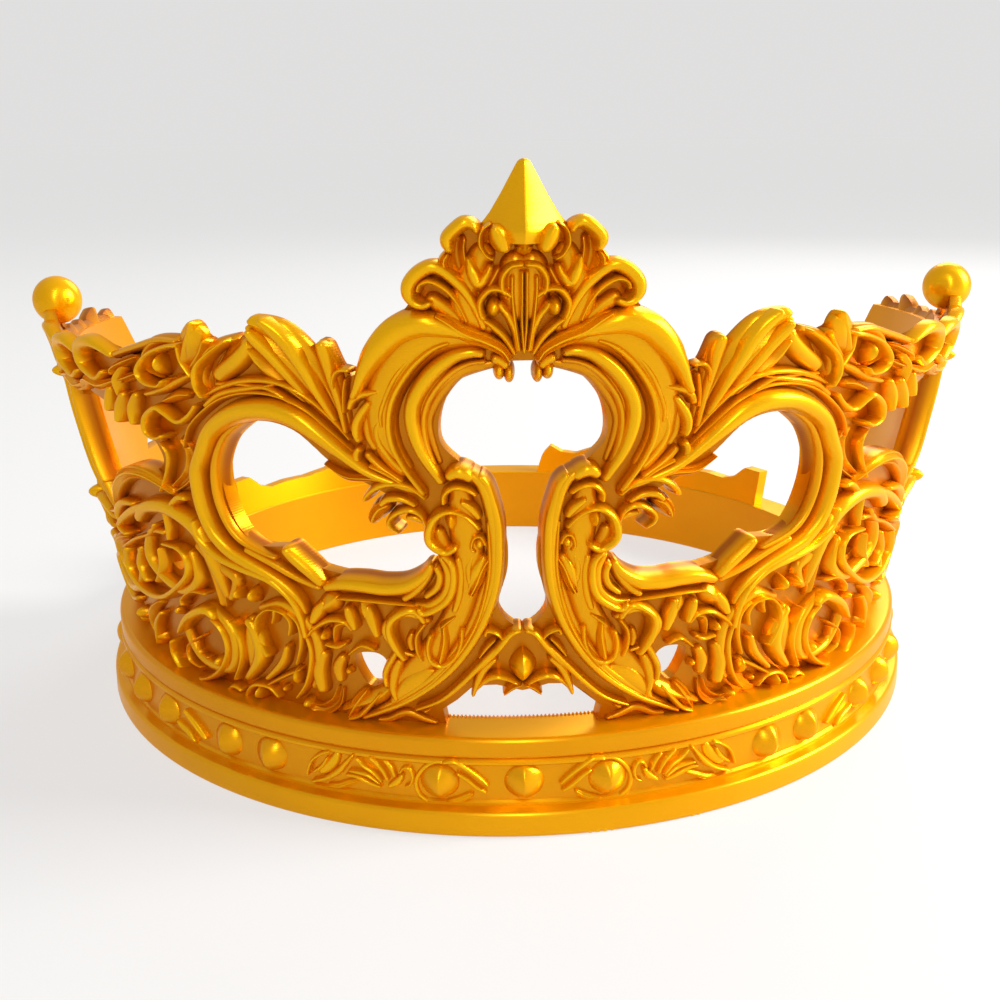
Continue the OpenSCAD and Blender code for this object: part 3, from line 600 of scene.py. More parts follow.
# The posts on both sides of the keyhole's slot, from their scrolled heads to their feet
PILLAR = [
    roll((3.7, 50.8, 0.8, 4.1), (4.8, 47.8, 1.5, 5.1), (5.8, 43.2, 0.7, 4.1)),
    roll((8.7, 50.6, 0.7, 4.1), (7.7, 47.4, 1.2, 4.9), (8.1, 43.8, 1.2, 4.9), (9.8, 41.4, 1.2, 4.9),
         (11.9, 41.2, 0.7, 4.1)),
    roll((9.8, 38, 0.8, 4.3), (12.7, 39.6, 1.1, 5), (15, 36.4, 1.2, 5.1), (14.1, 32.4, 0.9, 4.3),
         (11.9, 31.2, 0.6, 3.9)),
    roll((6.4, 63.4, 1.6, 3.8), (6, 57, 3, 4.4), (5.6, 50, 3, 4.4), (6.2, 43, 2.8, 4.4), (8.2, 36, 3, 4.4),
         (11.6, 29.4, 2.8, 4.2), (16.2, 23, 1.8, 3.8)),
    roll((6.4, 65.4, 1, 4.2), (4, 62.8, 1.3, 5), (2.9, 54.3, 1.3, 5), (3.2, 45.4, 1.3, 5),
         (5.2, 36.8, 1.3, 4.8), (8.8, 29.4, 1.2, 4.8), (13.4, 23.4, 1, 4.6), (18.4, 18.4, 0.6, 4)),
    roll((4.6, 64.6, 1, 4.8), (3.6, 63, 1.1, 4.9), (3.1, 60.1, 1.3, 5), (2.6, 56.6, 1.3, 5.1),
         (2.5, 52.7, 1.3, 5.2), (2.6, 48.4, 1.3, 5.2), (3.1, 43.6, 1.2, 5.2), (4.1, 39, 1.2, 5.2),
         (5.5, 34.6, 1.1, 5.2), (7.4, 30.3, 1.1, 5.2), (9.9, 26.3, 1, 5.1), (13.3, 22.4, 0.9, 5),
         (16.6, 19.7, 0.8, 4.9), (19.3, 17.7, 0.7, 4.8)),
    bead((3.5, 56.8, 0.6, 4.8), (3.4, 53.2, 0.6, 4.9), (3.4, 48.6, 0.7, 5), (3.9, 43.8, 0.7, 5.1),
         (4.8, 38.9, 0.7, 5.2), (6.3, 34.1, 0.7, 5.1), (8.3, 29.8, 0.7, 5), (11, 25.5, 0.7, 4.9),
         (14.2, 22, 0.6, 4.7), (16.2, 19.7, 0.6, 4.6)),
    roll((3.5, 47.7, 0.9, 4), (4.3, 43.2, 1.1, 4.1), (5.3, 38.6, 1.1, 4.2), (6.9, 34.2, 1, 4.3),
         (8.8, 29.9, 0.8, 4.4)),
    roll((4.8, 63.2, 1, 4.8), (5.5, 64.6, 1.5, 5.3), (6.5, 64.9, 1.5, 5.4), (7.5, 63.6, 0.9, 5)),
    bead((4.4, 61, 0.6, 5), (5.5, 62.2, 0.7, 5.2), (6.8, 62.4, 0.8, 5.3), (7.7, 61.1, 0.7, 5.4),
         (7.7, 59.4, 0.6, 5.6)),
    roll((4.2, 56.9, 0.6, 4.8), (5, 58.7, 1.1, 5.1), (6.2, 60.4, 0.6, 5.4)),
    bead((4.2, 55.1, 0.6, 5), (5.7, 57.6, 0.7, 5.2), (7.3, 58.4, 0.8, 5.5), (8.6, 57.4, 1, 5.8),
         (9.3, 55.4, 1.1, 6), (9.4, 53.2, 1.1, 5.9), (8.6, 51.8, 1.1, 5.8), (7.6, 51.4, 1, 5.7),
         (6.5, 52.6, 0.8, 5.6)),
    bead((7.1, 50.2, 1.1, 4), (8.3, 52.8, 1.6, 4.1), (8.6, 55.6, 1.1, 4.2)),
    bead((3.7, 52.2, 0.6, 4.8), (4.2, 53.9, 0.6, 4.8), (4.9, 53.8, 0.6, 4.9), (5.2, 52.1, 0.6, 5),
         (4.7, 51.1, 0.6, 5)),
    leaf((3.4, 50.3, 0.6, 5), (4.2, 48.2, 1.1, 5.2), (4.8, 45.7, 1.1, 5.4), (5.6, 43.2, 0.5, 5.6)),
    roll((5.1, 50.8, 0.8, 4.4), (5.6, 48.3, 1.1, 4.6), (5.5, 45.2, 0.7, 4.8)),
    bead((6.7, 50.7, 1, 4.6), (6.4, 47, 1.1, 4.7), (6.7, 43.2, 1.1, 4.9), (7.4, 39.9, 0.8, 5)),
    bead((8.4, 51, 0.7, 5), (7.3, 48.9, 1, 5.1), (7.2, 45.8, 1.1, 5.3), (7.8, 42.9, 1.1, 5.4),
         (9.2, 40.9, 1.1, 5.5), (10.6, 40.1, 1, 5.7), (11.1, 41.5, 0.7, 5.8)),
    roll((9.1, 48.9, 0.8, 4.8), (8.6, 46.8, 1, 4.9), (9.1, 44.5, 1, 4.9), (10.5, 42.7, 0.7, 5)),
    roll((9.3, 49.1, 0.9, 4.6), (10, 46.5, 1.1, 4.7), (11.3, 43.8, 1.1, 4.7), (13, 41.9, 0.9, 4.8)),
    blade((7, 39.8, 0.6, 5), (8.1, 38.4, 1, 5.1), (9, 37.1, 0.6, 5.2)),
    bead((6.5, 37.7, 0.7, 5), (6.7, 34.4, 0.8, 5.1), (7.5, 31.6, 0.8, 5.2), (8.9, 30, 1, 5.3),
         (10.1, 31, 0.8, 5.4), (10.3, 33.7, 0.8, 5.5), (9.8, 36.4, 0.7, 5.6)),
    blade((8.5, 38.2, 0.9, 5.4), (8.4, 35.7, 1.1, 5.9), (8.7, 33.1, 1.1, 6), (9.2, 30.2, 1, 5.6)),
    bead((10.4, 37.7, 0.7, 5), (11.5, 40.2, 1.1, 5.4), (12.8, 40, 1.1, 5.8), (14.1, 38.3, 1.1, 6.2),
         (14.5, 35.6, 1.1, 5.8), (14, 32.8, 1.1, 5.4), (13, 30.3, 0.7, 5)),
    bead((10.4, 38.1, 0.6, 4.8), (11.5, 35.6, 0.7, 4.9), (11.6, 32.6, 0.7, 4.9), (11, 30.4, 0.6, 5)),
    bead((12.1, 36, 0.7, 4), (12.5, 33.9, 1.1, 4.1), (12.2, 32, 0.7, 4.2)),
    roll((8.9, 28.4, 1.1, 4), (11, 27.3, 2.6, 4.5), (13.2, 25, 2.4, 4.7), (15.5, 20.9, 0.9, 4.4)),
    roll((13.6, 30.8, 0.9, 4.6), (14.5, 27.9, 1.4, 4.7), (14.9, 24.7, 1.1, 4.9), (14.5, 22, 0.6, 5)),
]
PILLAR_GEMS = [(7.1, 56.7, 1.5, 4, 6.2, 0.8), (4.4, 52.8, 1, 2.8, 5.4, 0)]

# The small leaves over the low centre opening, between the posts
COLLAR = [
    bead((0, 36.9, 0.6, 4.8), (1.3, 36.3, 0.9, 5.2), (2.5, 33.8, 1, 5.2), (3.8, 31.3, 0.9, 5),
         (5.5, 28.7, 0.8, 4.8), (7, 27.2, 0.5, 4.4)),
    bead((0.4, 26.3, 0.5, 4.8), (1.8, 27.7, 0.8, 5.2), (3.2, 28, 0.9, 5.2), (4.5, 26.7, 0.8, 4.8),
         (5.9, 23.9, 0.3, 4.2)),
    leaf((0, 26.4, 0.5, 5), (1.2, 25.7, 0.9, 5), (2.2, 24, 0.4, 4.6)),
    bead((2, 34.8, 0.5, 4.8), (2.7, 36.2, 0.6, 4.9), (3.8, 36.9, 0.6, 5.1), (4.1, 35.7, 0.5, 5.2)),
    roll((2, 34.8, 0.6, 4.8), (3.3, 32.7, 0.8, 5), (4.9, 29.9, 0.9, 5.1), (6.8, 26.6, 0.9, 5.1),
         (9.4, 23, 0.7, 5), (12.6, 20.6, 0.5, 4.8)),
    bead((2.9, 35.3, 0.4, 4.6), (3.9, 33.6, 0.7, 4.6), (4.9, 31.4, 0.4, 4.6)),
    roll((2.8, 31.6, 0.8, 4.6), (4.2, 29.5, 1.1, 4.7), (5, 27.1, 1, 4.9), (5.7, 23.9, 0.4, 5)),
    roll((9.9, 17.7, 0.5, 3.6), (11.5, 18.3, 1, 3.8), (13.7, 19.4, 1.2, 3.9), (16, 17.8, 1, 4),
         (17.5, 17.7, 0.5, 4.2)),
    blade((10.5, 21.3, 0.5, 5.2), (11.6, 20.6, 0.5, 5.2)),
]

# The leaf tufts between the arch and the posts
TUFT = [
    bead((9.4, 60.2, 0.5, 4.8), (10.9, 62.2, 0.7, 5), (12.6, 62.8, 0.8, 5.1), (14.2, 62.2, 0.9, 5.3),
         (15.4, 60.6, 0.7, 5.4), (15.6, 59.5, 0.5, 5.6)),
    roll((10.4, 58.9, 0.6, 4.6), (11.9, 60.1, 0.9, 4.7), (13.4, 60, 1, 4.9), (14.3, 58.7, 0.7, 5)),
    leaf((13.1, 59.2, 0.8, 4.8), (14.3, 58.3, 1.5, 4.9), (15.1, 56.6, 1.2, 4.9), (15, 55.6, 0.5, 5)),
    bead((9.6, 55.3, 0.5, 4.8), (10.1, 57.5, 0.7, 4.9), (11.3, 58.4, 0.9, 5), (12.6, 57.7, 0.8, 5.1),
         (13.4, 56.3, 0.7, 5.2), (13.1, 55.2, 0.6, 5.3), (12.2, 54.5, 0.4, 5.4)),
    roll((9.8, 56.1, 0.6, 4.4), (10.7, 56.9, 0.9, 4.5), (11.8, 57.1, 0.5, 4.6)),
    bead((9.7, 60.8, 0.5, 4.6), (11.4, 62.5, 0.6, 4.7), (13.1, 64.3, 0.6, 4.9), (15, 65.8, 0.5, 5)),
    leaf((12.1, 62.3, 0.5, 4.4), (14.8, 63.4, 0.9, 4.8), (17.5, 63.5, 0.9, 4.6), (19.8, 65.5, 0.4, 4.2)),
]

# The long scroll round the kidney-shaped opening
KIDNEY_FRAME = [
    roll((9.3, 61.1, 0.8, 4.6), (12.6, 62.8, 1, 4.9), (15.2, 64.6, 1.2, 5.2), (17.6, 67.6, 1.6, 5.6),
         (19.9, 70.7, 2, 6), (22, 72.8, 2.2, 6.1), (24.3, 73.8, 2.3, 6.2), (27.4, 73.4, 2.2, 6.1),
         (30.2, 71.6, 2.1, 6), (32.6, 68.8, 1.9, 5.9), (34.3, 65, 1.8, 5.8), (35.8, 61.4, 1.7, 5.7),
         (36.3, 57.5, 1.7, 5.6), (36.2, 53.6, 1.8, 5.6), (35.4, 50, 1.8, 5.6), (33.6, 47.2, 1.8, 5.6),
         (30.9, 45.4, 1.8, 5.6), (28.5, 43.9, 1.6, 5.4), (26.3, 41.9, 1.4, 5.2), (25, 39.8, 1, 5),
         (24.4, 37.2, 0.6, 4.6)),
    roll((28, 71.6, 0.6, 4), (31.3, 68, 0.9, 4.3), (33.6, 62, 1, 4.4), (34, 55.2, 1, 4.4),
         (32.1, 49.6, 1, 4.4), (27.2, 47, 0.7, 4.2)),
    bead((16.2, 67.3, 0.4, 4), (18.4, 70.8, 0.5, 4.4), (20.8, 74.2, 0.6, 4.6), (23.7, 76.2, 0.6, 4.7),
         (27, 76.3, 0.6, 4.7), (30.2, 74.9, 0.6, 4.7), (33, 72.3, 0.6, 4.7), (35.8, 68.8, 0.5, 4.4),
         (37.6, 64.6, 0.4, 4)),
    bead((16.6, 69.4, 0.4, 4), (18.1, 72.9, 0.6, 4.6), (20.3, 76.2, 0.7, 4.8), (23.1, 78.3, 0.8, 4.9),
         (26.4, 78.4, 0.8, 4.9), (29.7, 77, 0.8, 4.8), (32.8, 74.6, 0.6, 4.5)),
    roll((9.3, 49.2, 0.8, 4.6), (10.3, 46.7, 1.3, 5), (12.3, 44.6, 1.7, 5.3), (14.8, 44, 1.8, 5.4),
         (17.2, 44.2, 1.8, 5.4), (19.7, 44, 1.6, 5.2), (22, 42.8, 1, 4.8)),
    bead((11.2, 41.1, 0.5, 4.4), (13.9, 41.4, 0.6, 4.8), (17.8, 41.5, 0.6, 4.8), (21.1, 41.1, 0.5, 4.4)),
    roll((21.5, 43.2, 1.1, 5), (23.1, 45.6, 1.6, 5.2), (24.9, 48.2, 1.6, 5.4), (25.8, 50.2, 1.1, 5.6)),
    roll((22, 42.6, 0.8, 4.4), (25.1, 44.1, 1.1, 4.5), (28.2, 46.3, 1.1, 4.7), (31.6, 48.2, 1, 4.8)),
]

# The tall leaves on the top edge
ACANTHUS = [
    blade((16.4, 69, 0.9, 2.9), (17.2, 77.1, 1.8, 3.9), (18.3, 85.6, 1.3, 4.5)),
    blade((17.2, 71.4, 0.9, 3.1), (18.7, 79.2, 1.7, 4.3), (21.7, 85.7, 2.3, 5.7), (25.1, 88.1, 1, 6.1)),
    blade((17.8, 71.4, 0.9, 2.9), (21.6, 81, 2.4, 4.7), (25.5, 87.2, 1.1, 5.7)),
    blade((24.5, 84.7, 1.3, 3.9), (27.5, 82.2, 2.6, 4.5), (30.5, 78.5, 1.2, 3.7)),
    blade((27, 84.9, 0.9, 4.1), (30.3, 83, 1.2, 4.9), (32.2, 79.2, 1.2, 4.9), (32.1, 75.5, 0.9, 3.9)),
    blade((34.4, 79.3, 1.2, 3.9), (32.6, 83.4, 2.9, 5.3), (31.5, 87.2, 1.3, 5.3)),
    blade((34.6, 83.5, 1, 3.9), (38.5, 82.6, 1.3, 4.5), (41, 78.7, 1.3, 4.3), (38.1, 76.9, 1, 3.9)),
    roll((17, 70.4, 0.6, 4.2), (17.3, 75.4, 1, 4.5), (17.8, 79.9, 1.3, 4.8), (18.1, 83.8, 1.4, 5.2),
         (18.1, 85.4, 0.9, 5.6)),
    bead((15.6, 80.8, 0.5, 4.8), (16.7, 80.9, 0.6, 4.9), (17.4, 79.8, 0.6, 4.9), (17.5, 77.7, 0.5, 5)),
    bead((16.3, 79.7, 0.5, 4.4), (16.7, 77.1, 0.6, 4.4), (16.9, 73.8, 0.5, 4.4)),
    roll((17.8, 72.3, 0.7, 4.4), (19.3, 77.5, 1.2, 5.3), (20.2, 81.4, 1.6, 6.2), (21.6, 85.7, 1.5, 6.8),
         (23.6, 88.6, 0.8, 7)),
    roll((20, 75, 0.7, 4.2), (21.9, 79.4, 1.4, 5), (23.3, 82.8, 1.6, 5.8), (24.5, 85.3, 1.4, 6.5),
         (24.9, 86.9, 0.7, 6.8)),
    blade((20.7, 75.1, 0.8, 3.8), (23.1, 78.5, 1.7, 4.3), (24.9, 81.2, 1.8, 5), (25.6, 84.1, 0.9, 5.8)),
    roll((25.4, 85.1, 1, 5.4), (26.1, 83.4, 1.7, 5.3), (27.7, 81.2, 1.9, 5.2), (29.7, 79.1, 1.8, 4.9),
         (30.6, 77.6, 1.4, 4.6)),
    bead((23, 78.5, 0.5, 4.4), (25.1, 77.5, 0.6, 4.5), (27.6, 77.6, 0.7, 4.5), (30.7, 77.3, 0.6, 4.6)),
    bead((22, 75, 0.6, 4.6), (24.6, 77.3, 0.8, 4.6), (27.1, 76.9, 0.9, 4.7), (30.3, 75.6, 0.9, 4.8),
         (32.8, 73, 0.8, 4.8)),
    bead((27.6, 84.8, 0.5, 5.8), (30.2, 82.3, 0.7, 5.9), (32.1, 79.7, 0.8, 6), (32.5, 76.9, 0.7, 6.1),
         (31.7, 74.8, 0.5, 6.2)),
    trough((29.4, 82.8, 0.8, 4.2), (31.2, 79.5, 1.3, 4.4), (31.5, 75.4, 0.7, 4.6)),
    blade((34.9, 78.8, 1.5, 4.6), (33.4, 82.5, 1.6, 5.3), (32, 85.6, 1.1, 5.7), (31.3, 87.4, 0.4, 6)),
    blade((33.9, 79, 1, 4.4), (31.8, 82.1, 1.6, 4.7), (30.7, 84.6, 0.9, 5)),
]
ACANTHUS_GEMS = [(37.6, 79.4, 1.1, 4.6, 6, 0.2)]

# The curls from the tall leaves down to the side opening
SHOULDER = [
    bead((34.1, 83.1, 0.5, 5.6), (36.2, 82.5, 0.6, 5.7), (39, 80.7, 0.7, 5.8), (40.9, 77.9, 0.8, 5.9),
         (40.1, 76.1, 0.8, 6), (37.9, 75.9, 0.7, 6.1), (36.8, 77.2, 0.5, 6.2)),
    bead((34.4, 83.4, 0.6, 5), (34.4, 80.7, 0.7, 5), (33.8, 78.9, 0.7, 5), (33.2, 77.8, 0.5, 5)),
    bead((33.4, 78.4, 0.6, 4.6), (35.6, 77, 0.9, 4.7), (38.4, 75, 0.9, 4.9), (41.4, 73.6, 0.7, 5)),
    leaf((41.3, 80, 0.6, 5.2), (44, 78.6, 0.9, 5.3), (46.5, 77, 0.9, 5.3), (46.6, 75.7, 0.6, 5.4)),
    leaf((42.2, 77, 0.6, 4.8), (44.5, 75.8, 1, 4.9), (47.8, 74.3, 0.5, 5)),
    roll((34.7, 83.4, 0.6, 4.4), (37.7, 83.3, 0.7, 4.5), (41.5, 81.6, 0.8, 4.5), (46.8, 79.2, 0.8, 4.6)),
    roll((33.6, 73.4, 0.6, 5), (35, 71.2, 0.7, 5.2), (36.7, 69.9, 0.8, 5.5), (38.4, 71.3, 0.9, 5.8),
         (39.4, 71.8, 0.9, 6), (41.5, 69.7, 0.9, 6), (42.1, 67.1, 0.8, 6), (40.7, 66.2, 0.7, 6),
         (39, 67.1, 0.5, 6)),
    blade((34.6, 74.7, 0.8, 4.4), (36.5, 74.3, 1.3, 4.6), (39, 72.7, 0.7, 4.8)),
    trough((37.9, 66.9, 0.7, 4.8), (36.8, 63.9, 1.2, 5), (37.9, 59.9, 1.2, 5.2), (41.3, 56.2, 0.7, 5.4)),
    bead((40.8, 65.5, 0.4, 4.8), (40, 63, 0.6, 4.9), (41.2, 59.2, 0.6, 4.9), (43.1, 55.5, 0.4, 5)),
    roll((43, 73.6, 0.9, 4.8), (44.7, 70.3, 1.5, 5.2), (44.6, 67.3, 0.6, 5.6)),
    roll((45.7, 73.1, 0.9, 4.8), (47.5, 69.9, 1.5, 5.2), (48.1, 66.9, 0.6, 5.6)),
    roll((48.5, 73.7, 0.9, 4.8), (49.6, 70.8, 1.4, 5.2), (49.9, 68.5, 0.6, 5.6)),
]

# The rosettes under the side opening and beside the kidney-shaped one
ROSETTES = [
    roll((35.9, 36.6, 1.1, 4.3), (36.7, 43, 1.8, 5.1), (38.2, 49.6, 2.1, 5.5), (42.6, 52.4, 2.1, 5.5),
         (47.8, 51, 1.8, 5.5), (51.6, 46.9, 1.4, 4.9)),
    roll((41, 45.2, 1, 4.3), (40.3, 39.4, 1.5, 5.1), (44.8, 35.6, 1.5, 5.1), (50.6, 39.4, 1.5, 5.1),
         (48.7, 45.7, 1.1, 4.7), (45, 46.8, 0.9, 4.5)),
    roll((31.5, 36.4, 0.9, 4.1), (27.2, 38.3, 1.4, 4.7), (24, 34, 1.4, 4.7), (24, 26.8, 1.3, 4.7),
         (25.5, 21.9, 0.9, 4.3)),
    roll((32.7, 34.8, 1, 4.1), (33.5, 29, 2, 4.9), (34.5, 21.8, 1, 4.1)),
    roll((40, 34.8, 1, 4.3), (36.1, 29.5, 1.6, 5.1), (38, 22.1, 1.5, 5.1), (44, 21.4, 1.4, 4.7),
         (46.2, 26.9, 1.3, 4.5), (43.7, 31.2, 0.9, 4.3)),
    roll((38.1, 52.2, 1.1, 5.6), (37.6, 48.5, 1.1, 5.7), (35.4, 45.8, 1.2, 5.7), (32.1, 44.5, 1.2, 5.8),
         (28.3, 43.2, 1.1, 5.7), (25.9, 40.2, 1, 5.6), (25, 36.5, 0.9, 5.5), (24.8, 32.5, 0.7, 5.4)),
    trough((40.9, 51.2, 0.9, 4.8), (38.4, 46.6, 1.7, 5), (37.1, 41.5, 1.7, 5.2), (36.9, 34.6, 0.9, 5.4)),
    roll((39.8, 46.7, 1, 4.2), (37, 43.4, 1.7, 4.3), (34.1, 41.2, 1.6, 4.3), (35.7, 36.6, 0.8, 4.4)),
    bead((27.1, 32.5, 0.5, 5.2), (26.5, 35.6, 0.5, 5.4), (27.4, 37.3, 0.5, 5.5), (29.2, 37.4, 0.5, 5.7),
         (30.9, 35.3, 0.6, 5.7), (31.7, 32.2, 0.6, 5.6), (31.3, 29.2, 0.6, 5.5), (30.6, 27.1, 0.6, 5.4)),
    bead((27, 26.6, 0.5, 4.8), (25.8, 31.2, 0.7, 4.9), (25.6, 35.4, 0.7, 5.1), (26.9, 37.6, 0.5, 5.2)),
    roll((27.8, 30.5, 0.8, 4.8), (29.2, 26.3, 1.2, 4.9), (32.1, 22, 0.7, 5)),
    bead((28.6, 37.6, 0.7, 5), (28.9, 35.9, 0.6, 4.8), (29.5, 34, 0.5, 4.6)),
    roll((33.6, 34.2, 1, 4.8), (32.1, 31.2, 1.8, 5.5), (32.3, 26.5, 1.7, 5.6), (35.4, 20.8, 0.9, 5.2)),
    bead((35.9, 33, 0.6, 5.4), (34.6, 29.8, 0.7, 5.7), (35, 25.4, 0.7, 5.7), (37.3, 20, 0.6, 5.4)),
    bead((39.3, 32.4, 0.6, 5.4), (37.4, 30.1, 0.7, 5.6), (37.3, 26.1, 0.9, 5.7), (39.5, 21.3, 0.9, 5.9),
         (43.8, 17.4, 0.8, 5.9), (48.4, 16.7, 0.8, 5.8), (50.6, 19.4, 0.7, 5.7), (49.9, 23.1, 0.6, 5.6)),
    roll((38, 32.2, 0.8, 5.6), (39.8, 33.6, 1.4, 6.1), (43.5, 30.7, 1.2, 6.3), (46.7, 26.1, 0.5, 6)),
    bead((42.5, 27, 0.4, 4.6), (46.5, 23.1, 0.5, 4.7), (46.9, 19.8, 0.5, 4.9), (44.1, 19.5, 0.4, 5)),
    bead((44.3, 25.2, 0.4, 4.2), (44.5, 22.5, 0.5, 4.3), (42.5, 22.1, 0.4, 4.4)),
    roll((45.9, 44.6, 0.6, 5.2), (42.2, 44.8, 0.7, 5.4), (40.9, 42.5, 0.9, 5.7), (42.4, 38.7, 0.9, 5.9),
         (48.9, 32.6, 1, 5.9), (55.7, 31.3, 1, 5.8), (59.6, 33.8, 0.9, 5.7), (57.6, 39.2, 0.8, 5.6)),
    blade((47.5, 43.3, 0.7, 4.8), (47.8, 39.2, 1.4, 5.2), (49.9, 34.9, 0.9, 5.6)),
    roll((52.2, 41.5, 0.6, 5), (54.5, 36.7, 1.1, 5.3), (52.5, 33.9, 0.7, 5.6)),
    roll((45, 51.2, 0.9, 5.2), (47.8, 51.2, 1.3, 5.4), (52.9, 48, 1.3, 5.6), (57.2, 43.9, 1, 5.8),
         (54.6, 43.1, 0.6, 6)),
    bead((46.3, 48.4, 0.5, 5), (48.4, 45.6, 0.7, 5.1), (52.7, 43, 0.7, 5.3), (59, 38.5, 0.6, 5.4)),
    bead((43.7, 52.1, 0.6, 4.8), (43.8, 48.6, 0.9, 4.9), (44.1, 45.6, 0.5, 5)),
    roll((38.2, 55.6, 0.7, 5.4), (39.7, 55.5, 1, 5.5), (41.4, 53.6, 0.6, 5.6)),
    bead((52.2, 27.6, 0.7, 4.8), (55.4, 23.3, 1.1, 5), (56.7, 18.1, 0.7, 5.2)),
    bead((39.2, 36.9, 0.5, 5), (42, 36.4, 0.6, 5.1), (44.6, 33.8, 0.6, 5.1), (44.6, 32.2, 0.5, 5.2)),
    roll((30.5, 18.5, 0.5, 4.8), (31.8, 20.5, 0.6, 5), (34.3, 20, 0.8, 5.1), (35.9, 17.1, 0.7, 5.2),
         (34.8, 15.4, 0.5, 5.4)),
    bead((36.6, 17.6, 0.6, 5), (38.3, 18.1, 0.9, 5.1), (40.7, 15.2, 0.5, 5.2)),
    bead((26.5, 25.9, 0.5, 4.6), (29, 23.8, 0.7, 4.7), (32.2, 20.8, 0.5, 4.8)),
]
ROSETTE_GEMS = [(31.3, 39.3, 1, 3.6, 6, 0), (33.6, 38.9, 0.9, 3, 5.8, 0), (39.8, 22.8, 1.2, 3, 5.8, 0),
                (27.2, 24.3, 1.1, 4.6, 5.6, 0.4), (33.5, 18.8, 0.9, 3.6, 6, 0.2),
                (46.6, 30.5, 0.9, 2.6, 5.2, 0), (26.4, 18.9, 1.3, 2.6, 5.4, 0), (29.6, 20.8, 0.9, 2, 4.6, 0)]

# The leaves between the posts and the rosettes
LOWER_LEAVES = [
    blade((17.5, 41.9, 1.1, 4), (17.2, 39.4, 2, 5), (16.7, 36.2, 0.8, 4.2)),
    blade((19.9, 41.9, 1.1, 4), (21.3, 40.2, 2.2, 5), (23.8, 37.1, 1, 4.2)),
    blade((18.3, 36.5, 0.8, 4), (21, 35.8, 1.3, 4.4), (21.7, 30.9, 0.7, 3.8)),
    blade((15.1, 24.8, 1.2, 4.2), (17.3, 22.1, 1.9, 5), (22.2, 18.4, 1, 4.2)),
    roll((17.1, 40.9, 1, 4.6), (16.6, 37.8, 1.7, 4.9), (15.9, 34.5, 0.7, 5.2)),
    roll((19.3, 40.2, 0.8, 4.6), (19.1, 38, 1.4, 4.9), (18.4, 35.5, 0.6, 5.2)),
    roll((21.7, 40.6, 0.9, 4.6), (23, 38.1, 1.6, 5), (23.8, 35.8, 0.7, 5.4)),
    bead((18.8, 35.3, 0.5, 4.8), (19.8, 37, 0.7, 5), (21.7, 36.9, 0.8, 5.1), (23.7, 34.8, 0.7, 5.2),
         (24.4, 33.4, 0.5, 5.4)),
    bead((19.8, 32.9, 0.5, 4.6), (21.1, 31.8, 0.8, 4.8), (22.7, 32.2, 0.5, 5)),
    bead((16.4, 31.8, 0.5, 4.6), (18.1, 32.6, 0.6, 4.7), (19.9, 30.5, 0.4, 4.8)),
    roll((22.9, 30.8, 1.2, 4.6), (24.2, 25.9, 1.9, 4.8), (23.9, 21.4, 1.2, 5)),
    bead((25.2, 34.7, 0.5, 4.8), (24.6, 30, 0.8, 5), (25.7, 23.9, 0.8, 5.2), (27.7, 19.7, 0.5, 5.4)),
    roll((20.6, 30.2, 1, 4.2), (21.7, 27, 1.6, 4.3), (21.4, 24.2, 0.8, 4.4)),
    bead((16.2, 23.9, 0.5, 5), (17.9, 20.8, 0.7, 5.2), (19.4, 18.4, 0.7, 5.4), (20.9, 17.6, 0.5, 5.6)),
    trough((21.7, 23.4, 0.7, 4.8), (22.6, 20, 1.2, 5), (24.7, 17.9, 1.3, 5.2), (26.9, 18.8, 0.8, 5.4)),
    leaf((18.1, 23.8, 0.8, 4.6), (19.7, 20.6, 1.6, 4.8), (21.1, 17.2, 0.6, 5)),
    bead((13.5, 33.3, 0.7, 4.8), (14.6, 30.7, 0.9, 4.9), (15.6, 27.6, 0.9, 5.1), (15.5, 24.8, 0.6, 5.2)),
]
LOWER_GEMS = [(22.4, 33.9, 0.9, 2.6, 5.8, 0), (20.2, 27, 0.9, 2, 4.6, 0), (11.3, 20.5, 0.8, 1.8, 4.6, 0)]

